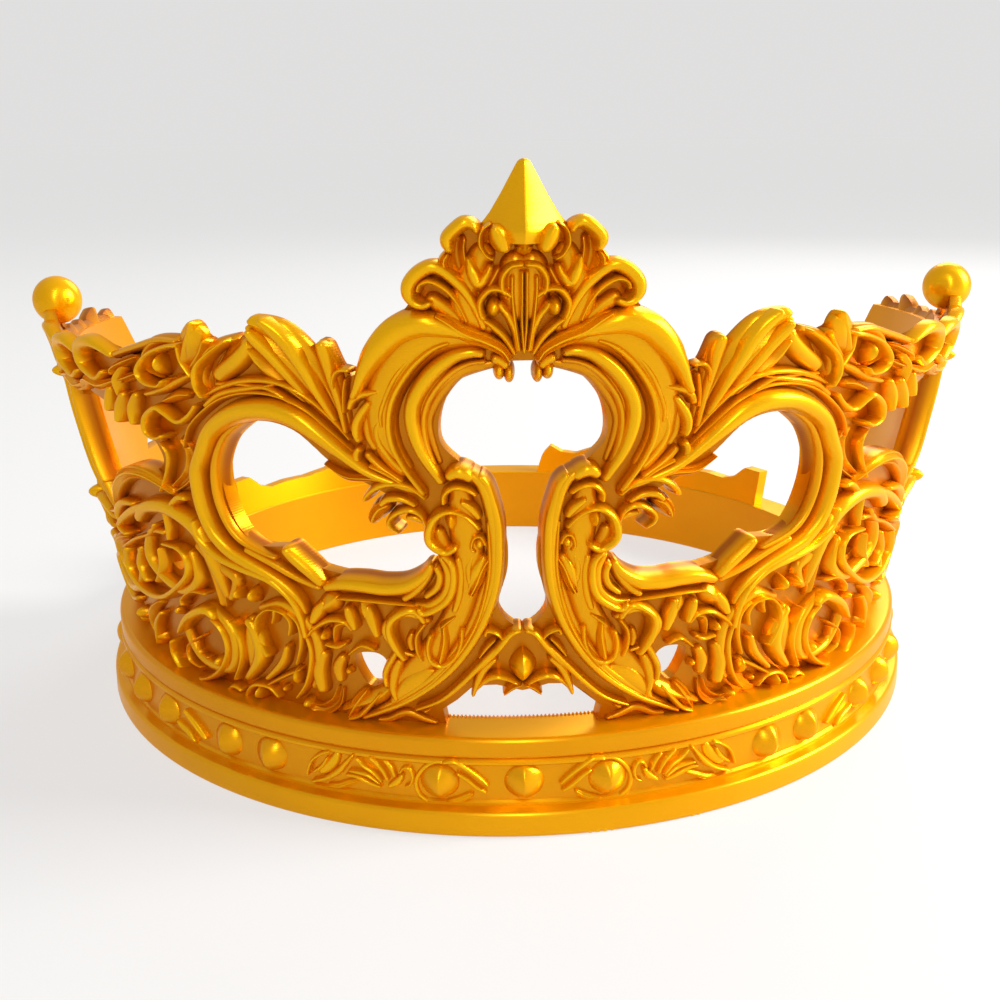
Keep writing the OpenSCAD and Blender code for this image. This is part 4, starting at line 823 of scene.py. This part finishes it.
# The side posts under the balls, the top edge up to them and the carving at their feet
COLUMN = [
    bead((45.6, 79.2, 0.9, 5), (49.2, 81.2, 1.3, 6), (53, 79.8, 1.4, 6), (54, 76.4, 1.2, 5.8),
         (51.2, 74.4, 1, 5.4), (49, 76.2, 0.7, 5)),
    bead((54.2, 77.4, 0.9, 5), (57.6, 79.8, 1.4, 6), (61.2, 78.8, 1.5, 6.2), (62.4, 75.2, 1.3, 6),
         (59.8, 72.8, 1, 5.4), (57.4, 74.4, 0.7, 5)),
    leaf((47, 74.8, 0.8, 4.8), (50.6, 73.2, 1.4, 5.6), (54.4, 73.4, 1.3, 5.6), (57.8, 70.8, 0.7, 4.8)),
    leaf((55.6, 72.6, 0.8, 4.8), (59.4, 71, 1.4, 5.6), (63, 71.8, 1.3, 5.6), (65.4, 69, 0.7, 4.8)),
    blade((44.4, 78, 0.8, 4.8), (46.2, 75.2, 1.3, 5.6), (46.8, 71.6, 0.7, 4.8)),
    leaf((40.6, 55.6, 0.9, 4.8), (44.8, 58, 1.5, 5.8), (49.4, 57.2, 1.7, 6), (54, 53.4, 1.5, 5.8),
         (58.2, 47.8, 0.8, 4.8)),
    roll((51, 50.4, 0.8, 4.8), (54.6, 49.4, 1.2, 5.4), (57.6, 46, 1.2, 5.4), (57, 42, 0.8, 4.8)),
    bead((65, 76.5, 1, 5), (68.5, 79.4, 1.5, 6), (72.6, 78.6, 1.6, 6.2), (74.2, 75, 1.5, 6),
         (71.6, 72.4, 1.2, 5.6), (69, 74, 0.8, 5)),
    leaf((65.4, 71.6, 1, 5), (69, 70.6, 1.6, 5.6), (73.6, 71.4, 1.6, 5.8), (76.4, 68.4, 1.3, 5.4),
         (75.4, 64.4, 0.8, 4.8)),
    bead((72, 80.4, 0.8, 4.8), (75.6, 80.6, 1.3, 5.4), (78.2, 77.4, 1.3, 5.4), (77, 74, 0.9, 5)),
    blade((63, 74.4, 0.8, 4.8), (66.2, 73.6, 1.2, 5.6), (69, 70.8, 1.1, 5.4), (70, 67, 0.7, 4.8)),
    leaf((70, 66.8, 0.8, 4.6), (73.6, 67.2, 1.2, 5.2), (75.4, 64.2, 1, 5), (74.6, 60.8, 0.6, 4.6)),
    roll((61, 43.4, 1, 4.8), (65.8, 46, 1.6, 5.8), (70.2, 44.6, 1.5, 5.6), (71.8, 40.6, 1.2, 5.2),
         (69.4, 37.6, 0.8, 4.6)),
    leaf((58, 41, 0.9, 4.6), (62.4, 38.6, 1.5, 5.4), (64.6, 34, 1.3, 5.2), (63, 29.6, 0.8, 4.6)),
    roll((66, 33.8, 0.9, 4.6), (69.6, 31.4, 1.4, 5.4), (70, 26.8, 1.4, 5.4), (66.6, 23.6, 1.1, 5),
         (63.4, 25, 0.8, 4.6)),
    blade((52, 30, 0.8, 4.6), (55.4, 26.8, 1.4, 5.2), (57.4, 22.4, 1.1, 5), (56.4, 19, 0.6, 4.4)),
    flute((60.4, 45.6, 1.2, 4.8), (62.6, 49.2, 1.9, 5.4), (64.4, 53.3, 2.2, 5.7), (65.6, 58.3, 2.3, 5.9),
          (66.5, 64.3, 2.2, 5.9), (66.3, 70.2, 1.9, 5.6), (66.1, 74.7, 1.4, 5.2)),
    roll((66.2, 73.1, 1.1, 4.8), (67.8, 76.2, 1.7, 5.4), (69.9, 79.2, 1.9, 5.6), (72.4, 82.5, 1.7, 5)),
    bead((63.9, 47.7, 0.5, 4.6), (66.5, 52.2, 0.8, 5.2), (68.2, 57.6, 0.9, 5.3), (69, 63.8, 0.9, 5.3),
         (69.1, 69.7, 0.7, 5), (68.5, 74.7, 0.5, 4.6)),
    bead((61.9, 50.5, 0.5, 4.6), (63.4, 54.8, 0.7, 5.1), (64.3, 60.2, 0.7, 5.2), (64.6, 66.1, 0.6, 5),
         (64.3, 71.7, 0.4, 4.6)),
    bead((52.5, 50.7, 0.5, 4.6), (55.8, 48.2, 0.8, 5), (59.6, 45.8, 0.8, 5), (63.4, 44.6, 0.6, 4.8)),
]
COLUMN_GEMS = [(67.6, 46.6, 1.8, 4.2, 7, 0), (70.4, 70.8, 1.6, 3.6, 6.8, 0), (62.8, 22, 1.6, 3.6, 5.6, 0.2)]

# Guessed scrolls and leaves behind the side posts, in the style of the front
REAR = [
    bead((70.4, 76.3, 0.8, 4), (76.1, 76.5, 1.1, 4.4), (83.1, 75.7, 1.2, 4.4), (90.1, 75.3, 1.2, 4.4),
         (96.2, 74.7, 1.2, 4.3), (99.9, 71.5, 1.1, 4.2), (101.1, 66.1, 0.7, 3.8)),
    bead((54.2, 40.7, 0.7, 4.4), (55, 34.9, 1.1, 5), (58.7, 29.9, 1.3, 5.2), (64.1, 27.9, 1.3, 5.2),
         (68.5, 30.9, 1.2, 5.1), (68.7, 35.8, 1, 4.9), (64.9, 38, 0.6, 4.6)),
    roll((70.4, 74, 1.1, 4.8), (74.6, 66, 2, 5.4), (80.4, 60.6, 2.7, 5.8), (87.4, 59, 2.9, 6),
         (93.4, 61.6, 2.5, 5.4), (96.6, 67, 1.8, 4.8), (95.4, 71.6, 1.1, 4.4)),
    bead((73, 66, 0.8, 4.6), (78.4, 59.4, 1.4, 5), (86, 56.6, 1.5, 5.2), (93.8, 58.2, 1.3, 5),
         (98.6, 63.4, 0.7, 4.6)),
    leaf((76, 71.6, 1.5, 4.6), (80.6, 70.2, 3.7, 5.2), (86.6, 66.6, 3.1, 5.4), (90.6, 63.4, 1.2, 4.8)),
    blade((79, 67.4, 1.4, 4.6), (82.6, 65.4, 2.7, 5.4), (86.8, 62.6, 1.2, 4.8)),
    leaf((90.4, 70.8, 1.4, 4.4), (90.8, 67.6, 2.7, 5), (92.6, 64.2, 1.2, 4.8)),
    roll((70.6, 51.4, 1.3, 4.8), (75.6, 53.6, 2.2, 5.8), (81.4, 51.6, 2.7, 6), (84.6, 46.2, 2.4, 5.8),
         (82.4, 41.2, 1.8, 5.4), (78.4, 42.4, 1.3, 5), (78.6, 46, 0.8, 4.8)),
    leaf((85.6, 52.6, 1.4, 4.6), (88.6, 49.4, 3.1, 5.6), (90.8, 44.8, 2.7, 5.4), (91.4, 40.4, 1.2, 4.6)),
    bead((74.6, 48.4, 0.8, 4.6), (73.4, 43.4, 1.5, 5.4), (75.6, 38.6, 1.7, 5.4), (80.2, 36.6, 1.5, 5.2),
         (84.8, 37.8, 1, 4.8)),
    roll((96, 42.6, 1.1, 4.6), (92.4, 36.6, 2.1, 5.6), (87.6, 32.6, 2.5, 5.8), (82, 31.4, 2.4, 5.8),
         (77.6, 27.8, 2, 5.6), (79, 23.2, 1.5, 5.2), (83, 23.6, 1.1, 4.8)),
    leaf((88.4, 28.6, 1.4, 4.6), (92.4, 28.2, 3.2, 5.4), (97, 31.6, 1.4, 4.6)),
    leaf((85.4, 27.4, 1.4, 4.6), (88.6, 23.2, 2.9, 5.4), (93.2, 20.2, 1.2, 4.6)),
    blade((93, 24.6, 1.4, 4.6), (97, 22.4, 2.5, 5.2), (100.8, 19.2, 1, 4.4)),
    bead((70.4, 33.6, 1, 4.6), (73.2, 34.8, 1.7, 5.4), (75.4, 32, 1.5, 5.4), (73.6, 28.4, 1.3, 5),
         (71, 29.6, 0.8, 4.6)),
    blade((72.4, 25.4, 1.4, 4.6), (74, 22, 2.4, 5.2), (76.6, 19, 1, 4.4)),
    leaf((70.6, 60.4, 0.9, 4.8), (73, 56.6, 2, 5.6), (77.6, 55.4, 0.9, 4.8)),
    leaf((81.6, 55.4, 0.9, 4.8), (86, 54, 2.2, 5.6), (91.8, 54.6, 0.9, 4.8)),
    leaf((86, 49.4, 0.8, 4.6), (86.6, 43.4, 2, 5.6), (84.2, 38.8, 0.8, 4.6)),
    leaf((92.6, 51.6, 0.8, 4.6), (95.4, 48.2, 1.8, 5.2), (95.6, 43.6, 0.8, 4.6)),
    bead((99.6, 39.6, 0.8, 4.6), (97.4, 35.4, 1.4, 5.2), (93.4, 33, 1.5, 5.2), (91.4, 30, 0.9, 4.8)),
    leaf((99.6, 30.6, 0.7, 4.6), (99.2, 26.4, 1.6, 5.2), (102, 22.6, 0.7, 4.6)),
    blade((84.4, 21.6, 0.8, 4.6), (86.4, 19.6, 1.4, 5.2), (90.6, 18.2, 0.6, 4.4)),
    blade((76.6, 25, 0.8, 4.6), (78.4, 20.8, 1.7, 5.4), (82.2, 18.4, 0.7, 4.4)),
    leaf((70.6, 42.6, 0.8, 4.6), (72, 38.4, 1.7, 5.4), (76, 34.6, 0.8, 4.6)),
    blade((78.8, 63.4, 0.8, 4.6), (83.6, 64.8, 1.6, 5.2), (88.6, 63.4, 0.7, 4.8)),
    leaf((83, 74, 0.8, 4.4), (87, 71.6, 1.8, 4.9), (91.2, 70, 0.8, 4.6)),
    blade((97.4, 72, 0.8, 4.2), (98.8, 68.4, 1.6, 4.6), (98.6, 64, 0.8, 4.2)),
    leaf((74.6, 70, 1.2, 4.6), (76.6, 73.6, 2.6, 5), (79.8, 77.5, 1.2, 4.2)),
    blade((80.8, 70.6, 1.2, 4.4), (82.8, 73.9, 2.4, 4.6), (85.6, 77, 1, 4)),
    leaf((86, 69.5, 1.2, 4.4), (88.6, 73.9, 2.8, 4.5), (92.2, 78.1, 1.2, 3.7)),
    blade((92.4, 69.7, 1.2, 4.4), (94.6, 73.4, 2.4, 4.5), (97.8, 76.6, 1, 4)),
]
REAR_GEMS = [(80.9, 47.4, 1.6, 4.6, 6.2, 0.4), (73.2, 59.2, 1.4, 4, 5.4, 0.4),
             (96.4, 54.6, 1.6, 4.4, 5.2, 0.4), (98, 37, 1.3, 3.4, 5, 0.2), (80.4, 27, 1.2, 3, 5.6, 0)]
FOOT_PEARLS = [(a, 20.2, 1.5, 3.4, 4.9, 0.4) for a in range(56, 104, 8)]

# The small leaves between the studs on the frieze, with heights from the floor
FRIEZE = [
    leaf((41, 7.6, 0.4, 2.3), (42.2, 8.6, 0.8, 2.3), (43.5, 9.9, 0.8, 2.3), (45.4, 11.6, 0.4, 2.3)),
    roll((43.4, 5.8, 0.3, 2.1), (44.8, 6.9, 0.7, 2.1), (46.3, 7.5, 0.7, 2.1), (47.3, 8.4, 0.3, 2.1)),
    bead((8.7, 12.9, 0.5, 1.7), (10, 12.8, 0.5, 1.7), (11.3, 11.3, 0.5, 1.7), (12.1, 9, 0.5, 1.7),
         (11.8, 6.6, 0.5, 1.7), (10.7, 5.2, 0.5, 1.7)),
    bead((9.1, 12.9, 0.4, 2.1), (7.7, 13.2, 0.5, 2.1), (6.3, 11.9, 0.5, 2.1), (4.9, 10.3, 0.4, 2.1),
         (3.9, 8.8, 0.3, 2.1)),
    bead((7.5, 11.2, 0.4, 2.1), (6.4, 10.1, 0.5, 2.1), (5.3, 8.6, 0.5, 2.1), (4.1, 7.5, 0.3, 2.1)),
    leaf((5.6, 7.4, 0.4, 2), (6.4, 6.6, 0.7, 2), (7.4, 5.9, 0.7, 2), (8.7, 5.6, 0.3, 2)),
    bead((13.9, 10.2, 0.3, 2), (13.5, 11.3, 0.3, 2), (12.8, 11.4, 0.4, 2), (12.4, 10, 0.4, 2),
         (12.7, 8.4, 0.3, 2), (13.4, 7.9, 0.3, 2)),
    roll((13.5, 10.3, 0.4, 2.2), (14.2, 8.7, 0.8, 2.2), (15.3, 7.6, 0.4, 2.2)),
    bead((14.4, 9.5, 0.3, 2.1), (14.9, 11.3, 0.5, 2.1), (15.7, 12.7, 0.3, 2.1)),
    bead((15.2, 8.7, 0.3, 2.2), (15.9, 10.7, 0.5, 2.2), (16.6, 11.9, 0.5, 2.2), (17.4, 13, 0.3, 2.2)),
    bead((15.9, 8.3, 0.3, 2.2), (16.9, 9.9, 0.5, 2.2), (18, 10.9, 0.5, 2.2), (19, 12.5, 0.3, 2.2)),
    bead((16.1, 7.9, 0.3, 2.2), (17.5, 9.2, 0.5, 2.2), (18.7, 9.6, 0.5, 2.2), (20, 9.7, 0.3, 2.2)),
    bead((16, 7.3, 0.3, 2.1), (17.5, 7.8, 0.5, 2.1), (19.1, 8.7, 0.5, 2.1), (20.4, 8.8, 0.3, 2.1)),
    leaf((18.7, 8.1, 0.4, 2.1), (20, 7.2, 0.7, 2.1), (21.4, 6.2, 0.7, 2.1), (22.8, 6.1, 0.3, 2.1)),
    bead((19.2, 13.1, 0.3, 2.5), (20.1, 11.3, 0.5, 2.5), (21.3, 9.1, 0.7, 2.5), (22.8, 7.5, 0.5, 2.5),
         (24.8, 6.3, 0.3, 2.5)),
    roll((21.2, 12.9, 0.6, 1.9), (21.8, 11, 1.1, 1.9), (22.8, 9.3, 1.2, 1.9), (23.8, 8.1, 0.7, 1.9)),
    bead((22.1, 12.9, 0.3, 2.3), (23.3, 12, 0.4, 2.3), (24.6, 10.2, 0.4, 2.3), (25.3, 7.2, 0.3, 2.3)),
    bead((22.5, 11.6, 0.3, 2.2), (23.3, 9.6, 0.5, 2.2), (24.6, 8, 0.3, 2.2)),
]
SMALL_RINGS = 0.7

MIDDLE_GEMS = [(0.0, 29.9, 2.8, 7, 6.8, 0.9, 14, 40), (0.0, 99.4, 1.7, 3.6, 6.4, 0.9, 12, 30)]

pieces = [
    carved("arch", ARCH, ARCH_GEMS),
    carved("crest", CREST, CREST_GEMS),
    carved("pillars", PILLAR, PILLAR_GEMS),
    carved("collar", COLLAR),
    carved("tufts", TUFT),
    carved("kidney_scrolls", KIDNEY_FRAME),
    carved("acanthus", ACANTHUS, ACANTHUS_GEMS),
    carved("shoulders", SHOULDER),
    carved("rosettes", ROSETTES, ROSETTE_GEMS),
    carved("lower_leaves", LOWER_LEAVES, LOWER_GEMS),
    carved("columns", COLUMN, COLUMN_GEMS),
    carved("rear_scrolls", REAR, REAR_GEMS + FOOT_PEARLS),
    carved("frieze_leaves", FRIEZE, fine=SMALL_RINGS, surface=on_frieze),
    carving("middle_gems", [boss(*gem) for gem in MIDDLE_GEMS], False),
]

# The front spike: its width and height, and at each share of its height the share of its width
SPIKE_W = 13.6
SPIKE_H = 9.4
SPIKE_STEPS = np.array([[-0.2, 0.92], [-0.08, 1.02], [0, 1], [0.06, 0.91], [0.13, 0.82], [0.24, 0.7],
                        [0.36, 0.6], [0.49, 0.49], [0.62, 0.39], [0.78, 0.27], [0.9, 0.18], [0.96, 0.13],
                        [0.99, 0.08], [1, 0.03]])
SPIKE_FRONT, SPIKE_BACK = 0.8, 0.6
SPIKE_INSET = 0.6
HOLLOW = 1.8


def spike():
    """A four-sided spike with hollow sides: at each level a ring whose sine and cosine are raised to a power,
    which draws a diamond in, deeper in front than behind. It leans out with the wall."""
    z = (CROWN_H - SPIKE_H + SPIKE_STEPS[:, 0] * SPIKE_H)[:, None]
    half = (SPIKE_STEPS[:, 1] * SPIKE_W / 2)[:, None]
    turn = np.linspace(0, 2 * np.pi, 48, endpoint=False)[None, :]
    across = np.sign(np.cos(turn)) * np.abs(np.cos(turn)) ** HOLLOW
    depth = np.sign(np.sin(turn)) * np.abs(np.sin(turn)) ** HOLLOW
    r = HEAD_R + LEDGE + (z - BAND_H) * LEAN + WALL_T - SPIKE_INSET
    x = half * across
    y = -r + half * np.where(depth > 0, SPIKE_BACK, SPIKE_FRONT) * depth
    return np.stack([x, y, z + 0 * x], axis=-1)[::-1] * MM


# The balls on the side posts: angle, drawn height and depth of the centre, and the radius in mm
BALL_ANGLE, BALL_Z, BALL_OUT = 73.5, 84.0, 2.0
BALL_R = 4.68
ball = np.stack(globe(40, 80, 0.02), axis=-1)[::-1] * BALL_R * MM + on_wall(BALL_ANGLE, BALL_Z, BALL_OUT)
front_spike = carving("front_spike", [spike()], False)
balls = carving("balls", [ball])
# Painted shade: the spike and the balls take a light tone, little shaded
for piece in (front_spike, balls):
    paint_shade(piece, SMOOTH_TONE)
pieces += [front_spike, balls, wall, back_crest, band, studs, middle_stud, teeth, lips]


# The material
def fill(node, values):
    """Sets a node's named inputs to plain numbers and colours."""
    for name, value in values.items():
        node.inputs[name].default_value = value


def silk_gold():
    """Silk gold plastic: a half metallic yellow gold, with painted shade that darkens it to orange brown in
    the grooves.
    Its colour follows the painted shade tone plus 0.16 of a noise, its highlights stretch around the crown,
    and a wave by height gives it fine layer lines."""
    material = bpy.data.materials.new("silk_gold")
    material.use_nodes = True
    nodes, links = material.node_tree.nodes, material.node_tree.links
    shader = nodes["Principled BSDF"]
    fill(shader, {"Metallic": 0.62, "Roughness": 0.3, "IOR": 1.3, "Specular IOR Level": 0.2,
                  "Specular Tint": (1, 0.72, 0.25, 1), "Coat Weight": 0.18, "Coat Roughness": 0.26,
                  "Coat IOR": 1.45, "Anisotropic": 0.7, "Anisotropic Rotation": 0.25})
    grain = nodes.new("ShaderNodeTangent")
    grain.direction_type = "RADIAL"
    grain.axis = "Z"
    links.new(grain.outputs["Tangent"], shader.inputs["Tangent"])
    place = nodes.new("ShaderNodeTexCoord")
    relief = nodes.new("ShaderNodeAttribute")
    relief.attribute_name = "relief"
    mottle = nodes.new("ShaderNodeTexNoise")
    fill(mottle, {"Scale": 90, "Detail": 3})
    uneven = nodes.new("ShaderNodeMath")
    uneven.operation = "MULTIPLY_ADD"
    uneven.inputs[1].default_value = 0.16
    # Painted shade: the ramp runs from a dark orange brown in the grooves up to the yellow gold of the
    # highest carving
    colour = nodes.new("ShaderNodeValToRGB")
    groove_shade, highest = colour.color_ramp.elements
    groove_shade.position = 0.08
    groove_shade.color = (0.4, 0.1, 0.0, 1)
    highest.color = (0.92, 0.46, 0.0, 1)
    colour.color_ramp.elements.new(0.5).color = (0.8, 0.32, 0.0, 1)
    links.new(place.outputs["Object"], mottle.inputs["Vector"])
    links.new(mottle.outputs["Fac"], uneven.inputs[0])
    links.new(relief.outputs["Fac"], uneven.inputs[2])
    links.new(uneven.outputs["Value"], colour.inputs["Fac"])
    links.new(colour.outputs["Color"], shader.inputs["Base Color"])
    layers = nodes.new("ShaderNodeTexWave")
    layers.bands_direction = "Z"
    fill(layers, {"Scale": 780, "Distortion": 0.6})
    links.new(place.outputs["Object"], layers.inputs["Vector"])
    bump = nodes.new("ShaderNodeBump")
    fill(bump, {"Strength": 0.12, "Distance": 0.00006})
    links.new(layers.outputs["Fac"], bump.inputs["Height"])
    links.new(bump.outputs["Normal"], shader.inputs["Normal"])
    return material


gold = silk_gold()
for piece in pieces:
    piece.data.materials.clear()
    piece.data.materials.append(gold)
    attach(piece, "root")
    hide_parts("crown")


# Floor and backdrop
def seen_rays(tree):
    """1 for camera, glossy and transmission rays, by maxima of the light path's outputs, else 0."""
    path = tree.nodes.new("ShaderNodeLightPath")
    seen = path.outputs["Is Camera Ray"]
    for kind in ("Is Glossy Ray", "Is Transmission Ray"):
        larger = tree.nodes.new("ShaderNodeMath")
        larger.operation = "MAXIMUM"
        tree.links.new(seen, larger.inputs[0])
        tree.links.new(path.outputs[kind], larger.inputs[1])
        seen = larger.outputs["Value"]
    return seen


def show_mix(tree, share, first, second, output):
    """Leads two shaders to an output, mixed with the given share of the second."""
    mix = tree.nodes.new("ShaderNodeMixShader")
    tree.links.new(share, mix.inputs["Fac"])
    tree.links.new(first, mix.inputs[1])
    tree.links.new(second, mix.inputs[2])
    tree.links.new(mix.outputs["Shader"], tree.nodes[output].inputs["Surface"])


def pale_floor():
    """A plain pale finish: 0.65 of what seen rays meet is an even white, and the rest keeps the shadow."""
    material = bpy.data.materials.new("pale_floor")
    material.use_nodes = True
    tree = material.node_tree
    plain = tree.nodes["Principled BSDF"]
    fill(plain, {"Base Color": (0.78, 0.77, 0.75, 1), "Roughness": 0.7})
    glow = tree.nodes.new("ShaderNodeEmission")
    fill(glow, {"Color": (1, 0.995, 0.99, 1), "Strength": 1.0})
    share = tree.nodes.new("ShaderNodeMath")
    share.operation = "MULTIPLY"
    share.inputs[1].default_value = 0.65
    tree.links.new(seen_rays(tree), share.inputs[0])
    show_mix(tree, share.outputs["Value"], plain.outputs["BSDF"], glow.outputs["Emission"], "Material Output")
    return material


FLOOR = 40
floor_mesh = bpy.data.meshes.new("floor")
corners = [(-FLOOR, -FLOOR, 0), (FLOOR, -FLOOR, 0), (FLOOR, FLOOR, 0), (-FLOOR, FLOOR, 0)]
floor_mesh.from_pydata(corners, [], [(0, 1, 2, 3)])
floor_mesh.materials.append(pale_floor())
floor = bpy.data.objects.new("floor", floor_mesh)
bpy.context.scene.collection.objects.link(floor)

world = bpy.data.worlds.new("studio")
bpy.context.scene.world = world
world.use_nodes = True
tree = world.node_tree
soft = tree.nodes["Background"]
fill(soft, {"Color": (0.97, 0.97, 1.0, 1), "Strength": 0.24})
pale = tree.nodes.new("ShaderNodeBackground")
fill(pale, {"Color": (0.748, 0.74, 0.738, 1), "Strength": 1.0})
show_mix(tree, seen_rays(tree), soft.outputs["Background"], pale.outputs["Background"], "World Output")

# Lamps and camera, in metres. They are turned together about the crown's axis.
TURN = math.radians(-1.833)
LAMP_AIM = (0, 0, 0.05)


def turned(x, y):
    """A place round the crown, turned with the camera."""
    return x * math.cos(TURN) - y * math.sin(TURN), x * math.sin(TURN) + y * math.cos(TURN)


def facing(place, aim):
    """The turn that points an object's -Z from its place to an aim, with its top up."""
    return Vector((np.array(aim) - np.array(place)).tolist()).to_track_quat("-Z", "Y")


def lamp(name, place, width, tall, power):
    """A soft upright lamp that looks at the crown's middle."""
    data = bpy.data.lights.new(name, "AREA")
    data.shape = "RECTANGLE"
    data.size = width
    data.size_y = tall
    data.energy = power
    lamp_object = bpy.data.objects.new(name, data)
    spot = (*turned(*place[:2]), place[2])
    lamp_object.location = spot
    lamp_object.rotation_euler = facing(spot, LAMP_AIM).to_euler()
    bpy.context.scene.collection.objects.link(lamp_object)


lamp("key", (0.86, -0.06, 0.5), 0.4, 0.4, 15)
lamp("front", (0.05, -0.9, 0.7), 0.12, 0.8, 3.0)
lamp("back", (0.35, 0.75, 0.6), 0.5, 0.5, 4)

# The camera was fitted to the band's two ellipses in the photograph, which is 1000 points wide
DISTANCE = 0.2896
ELEVATION = math.radians(23.12)
AIM = (-0.00107, 0.0, 0.03261)
SENSOR = 36
FOCAL_POINTS, PHOTO_POINTS = 1189.9, 1000
ROLL = math.radians(-0.70)
camera_data = bpy.data.cameras.new("camera")
camera_data.sensor_width = SENSOR
camera_data.lens = FOCAL_POINTS / PHOTO_POINTS * SENSOR
camera_data.clip_start = 0.01
camera = bpy.data.objects.new("camera", camera_data)
camera.location = (*turned(0, -DISTANCE * math.cos(ELEVATION)), DISTANCE * math.sin(ELEVATION))
level = facing(camera.location, (*turned(*AIM[:2]), AIM[2])).to_matrix().to_4x4()
camera.rotation_euler = (level @ Matrix.Rotation(ROLL, 4, "Z")).to_euler()
bpy.context.scene.collection.objects.link(camera)
bpy.context.scene.camera = camera
bpy.context.scene.view_settings.view_transform = "Standard"
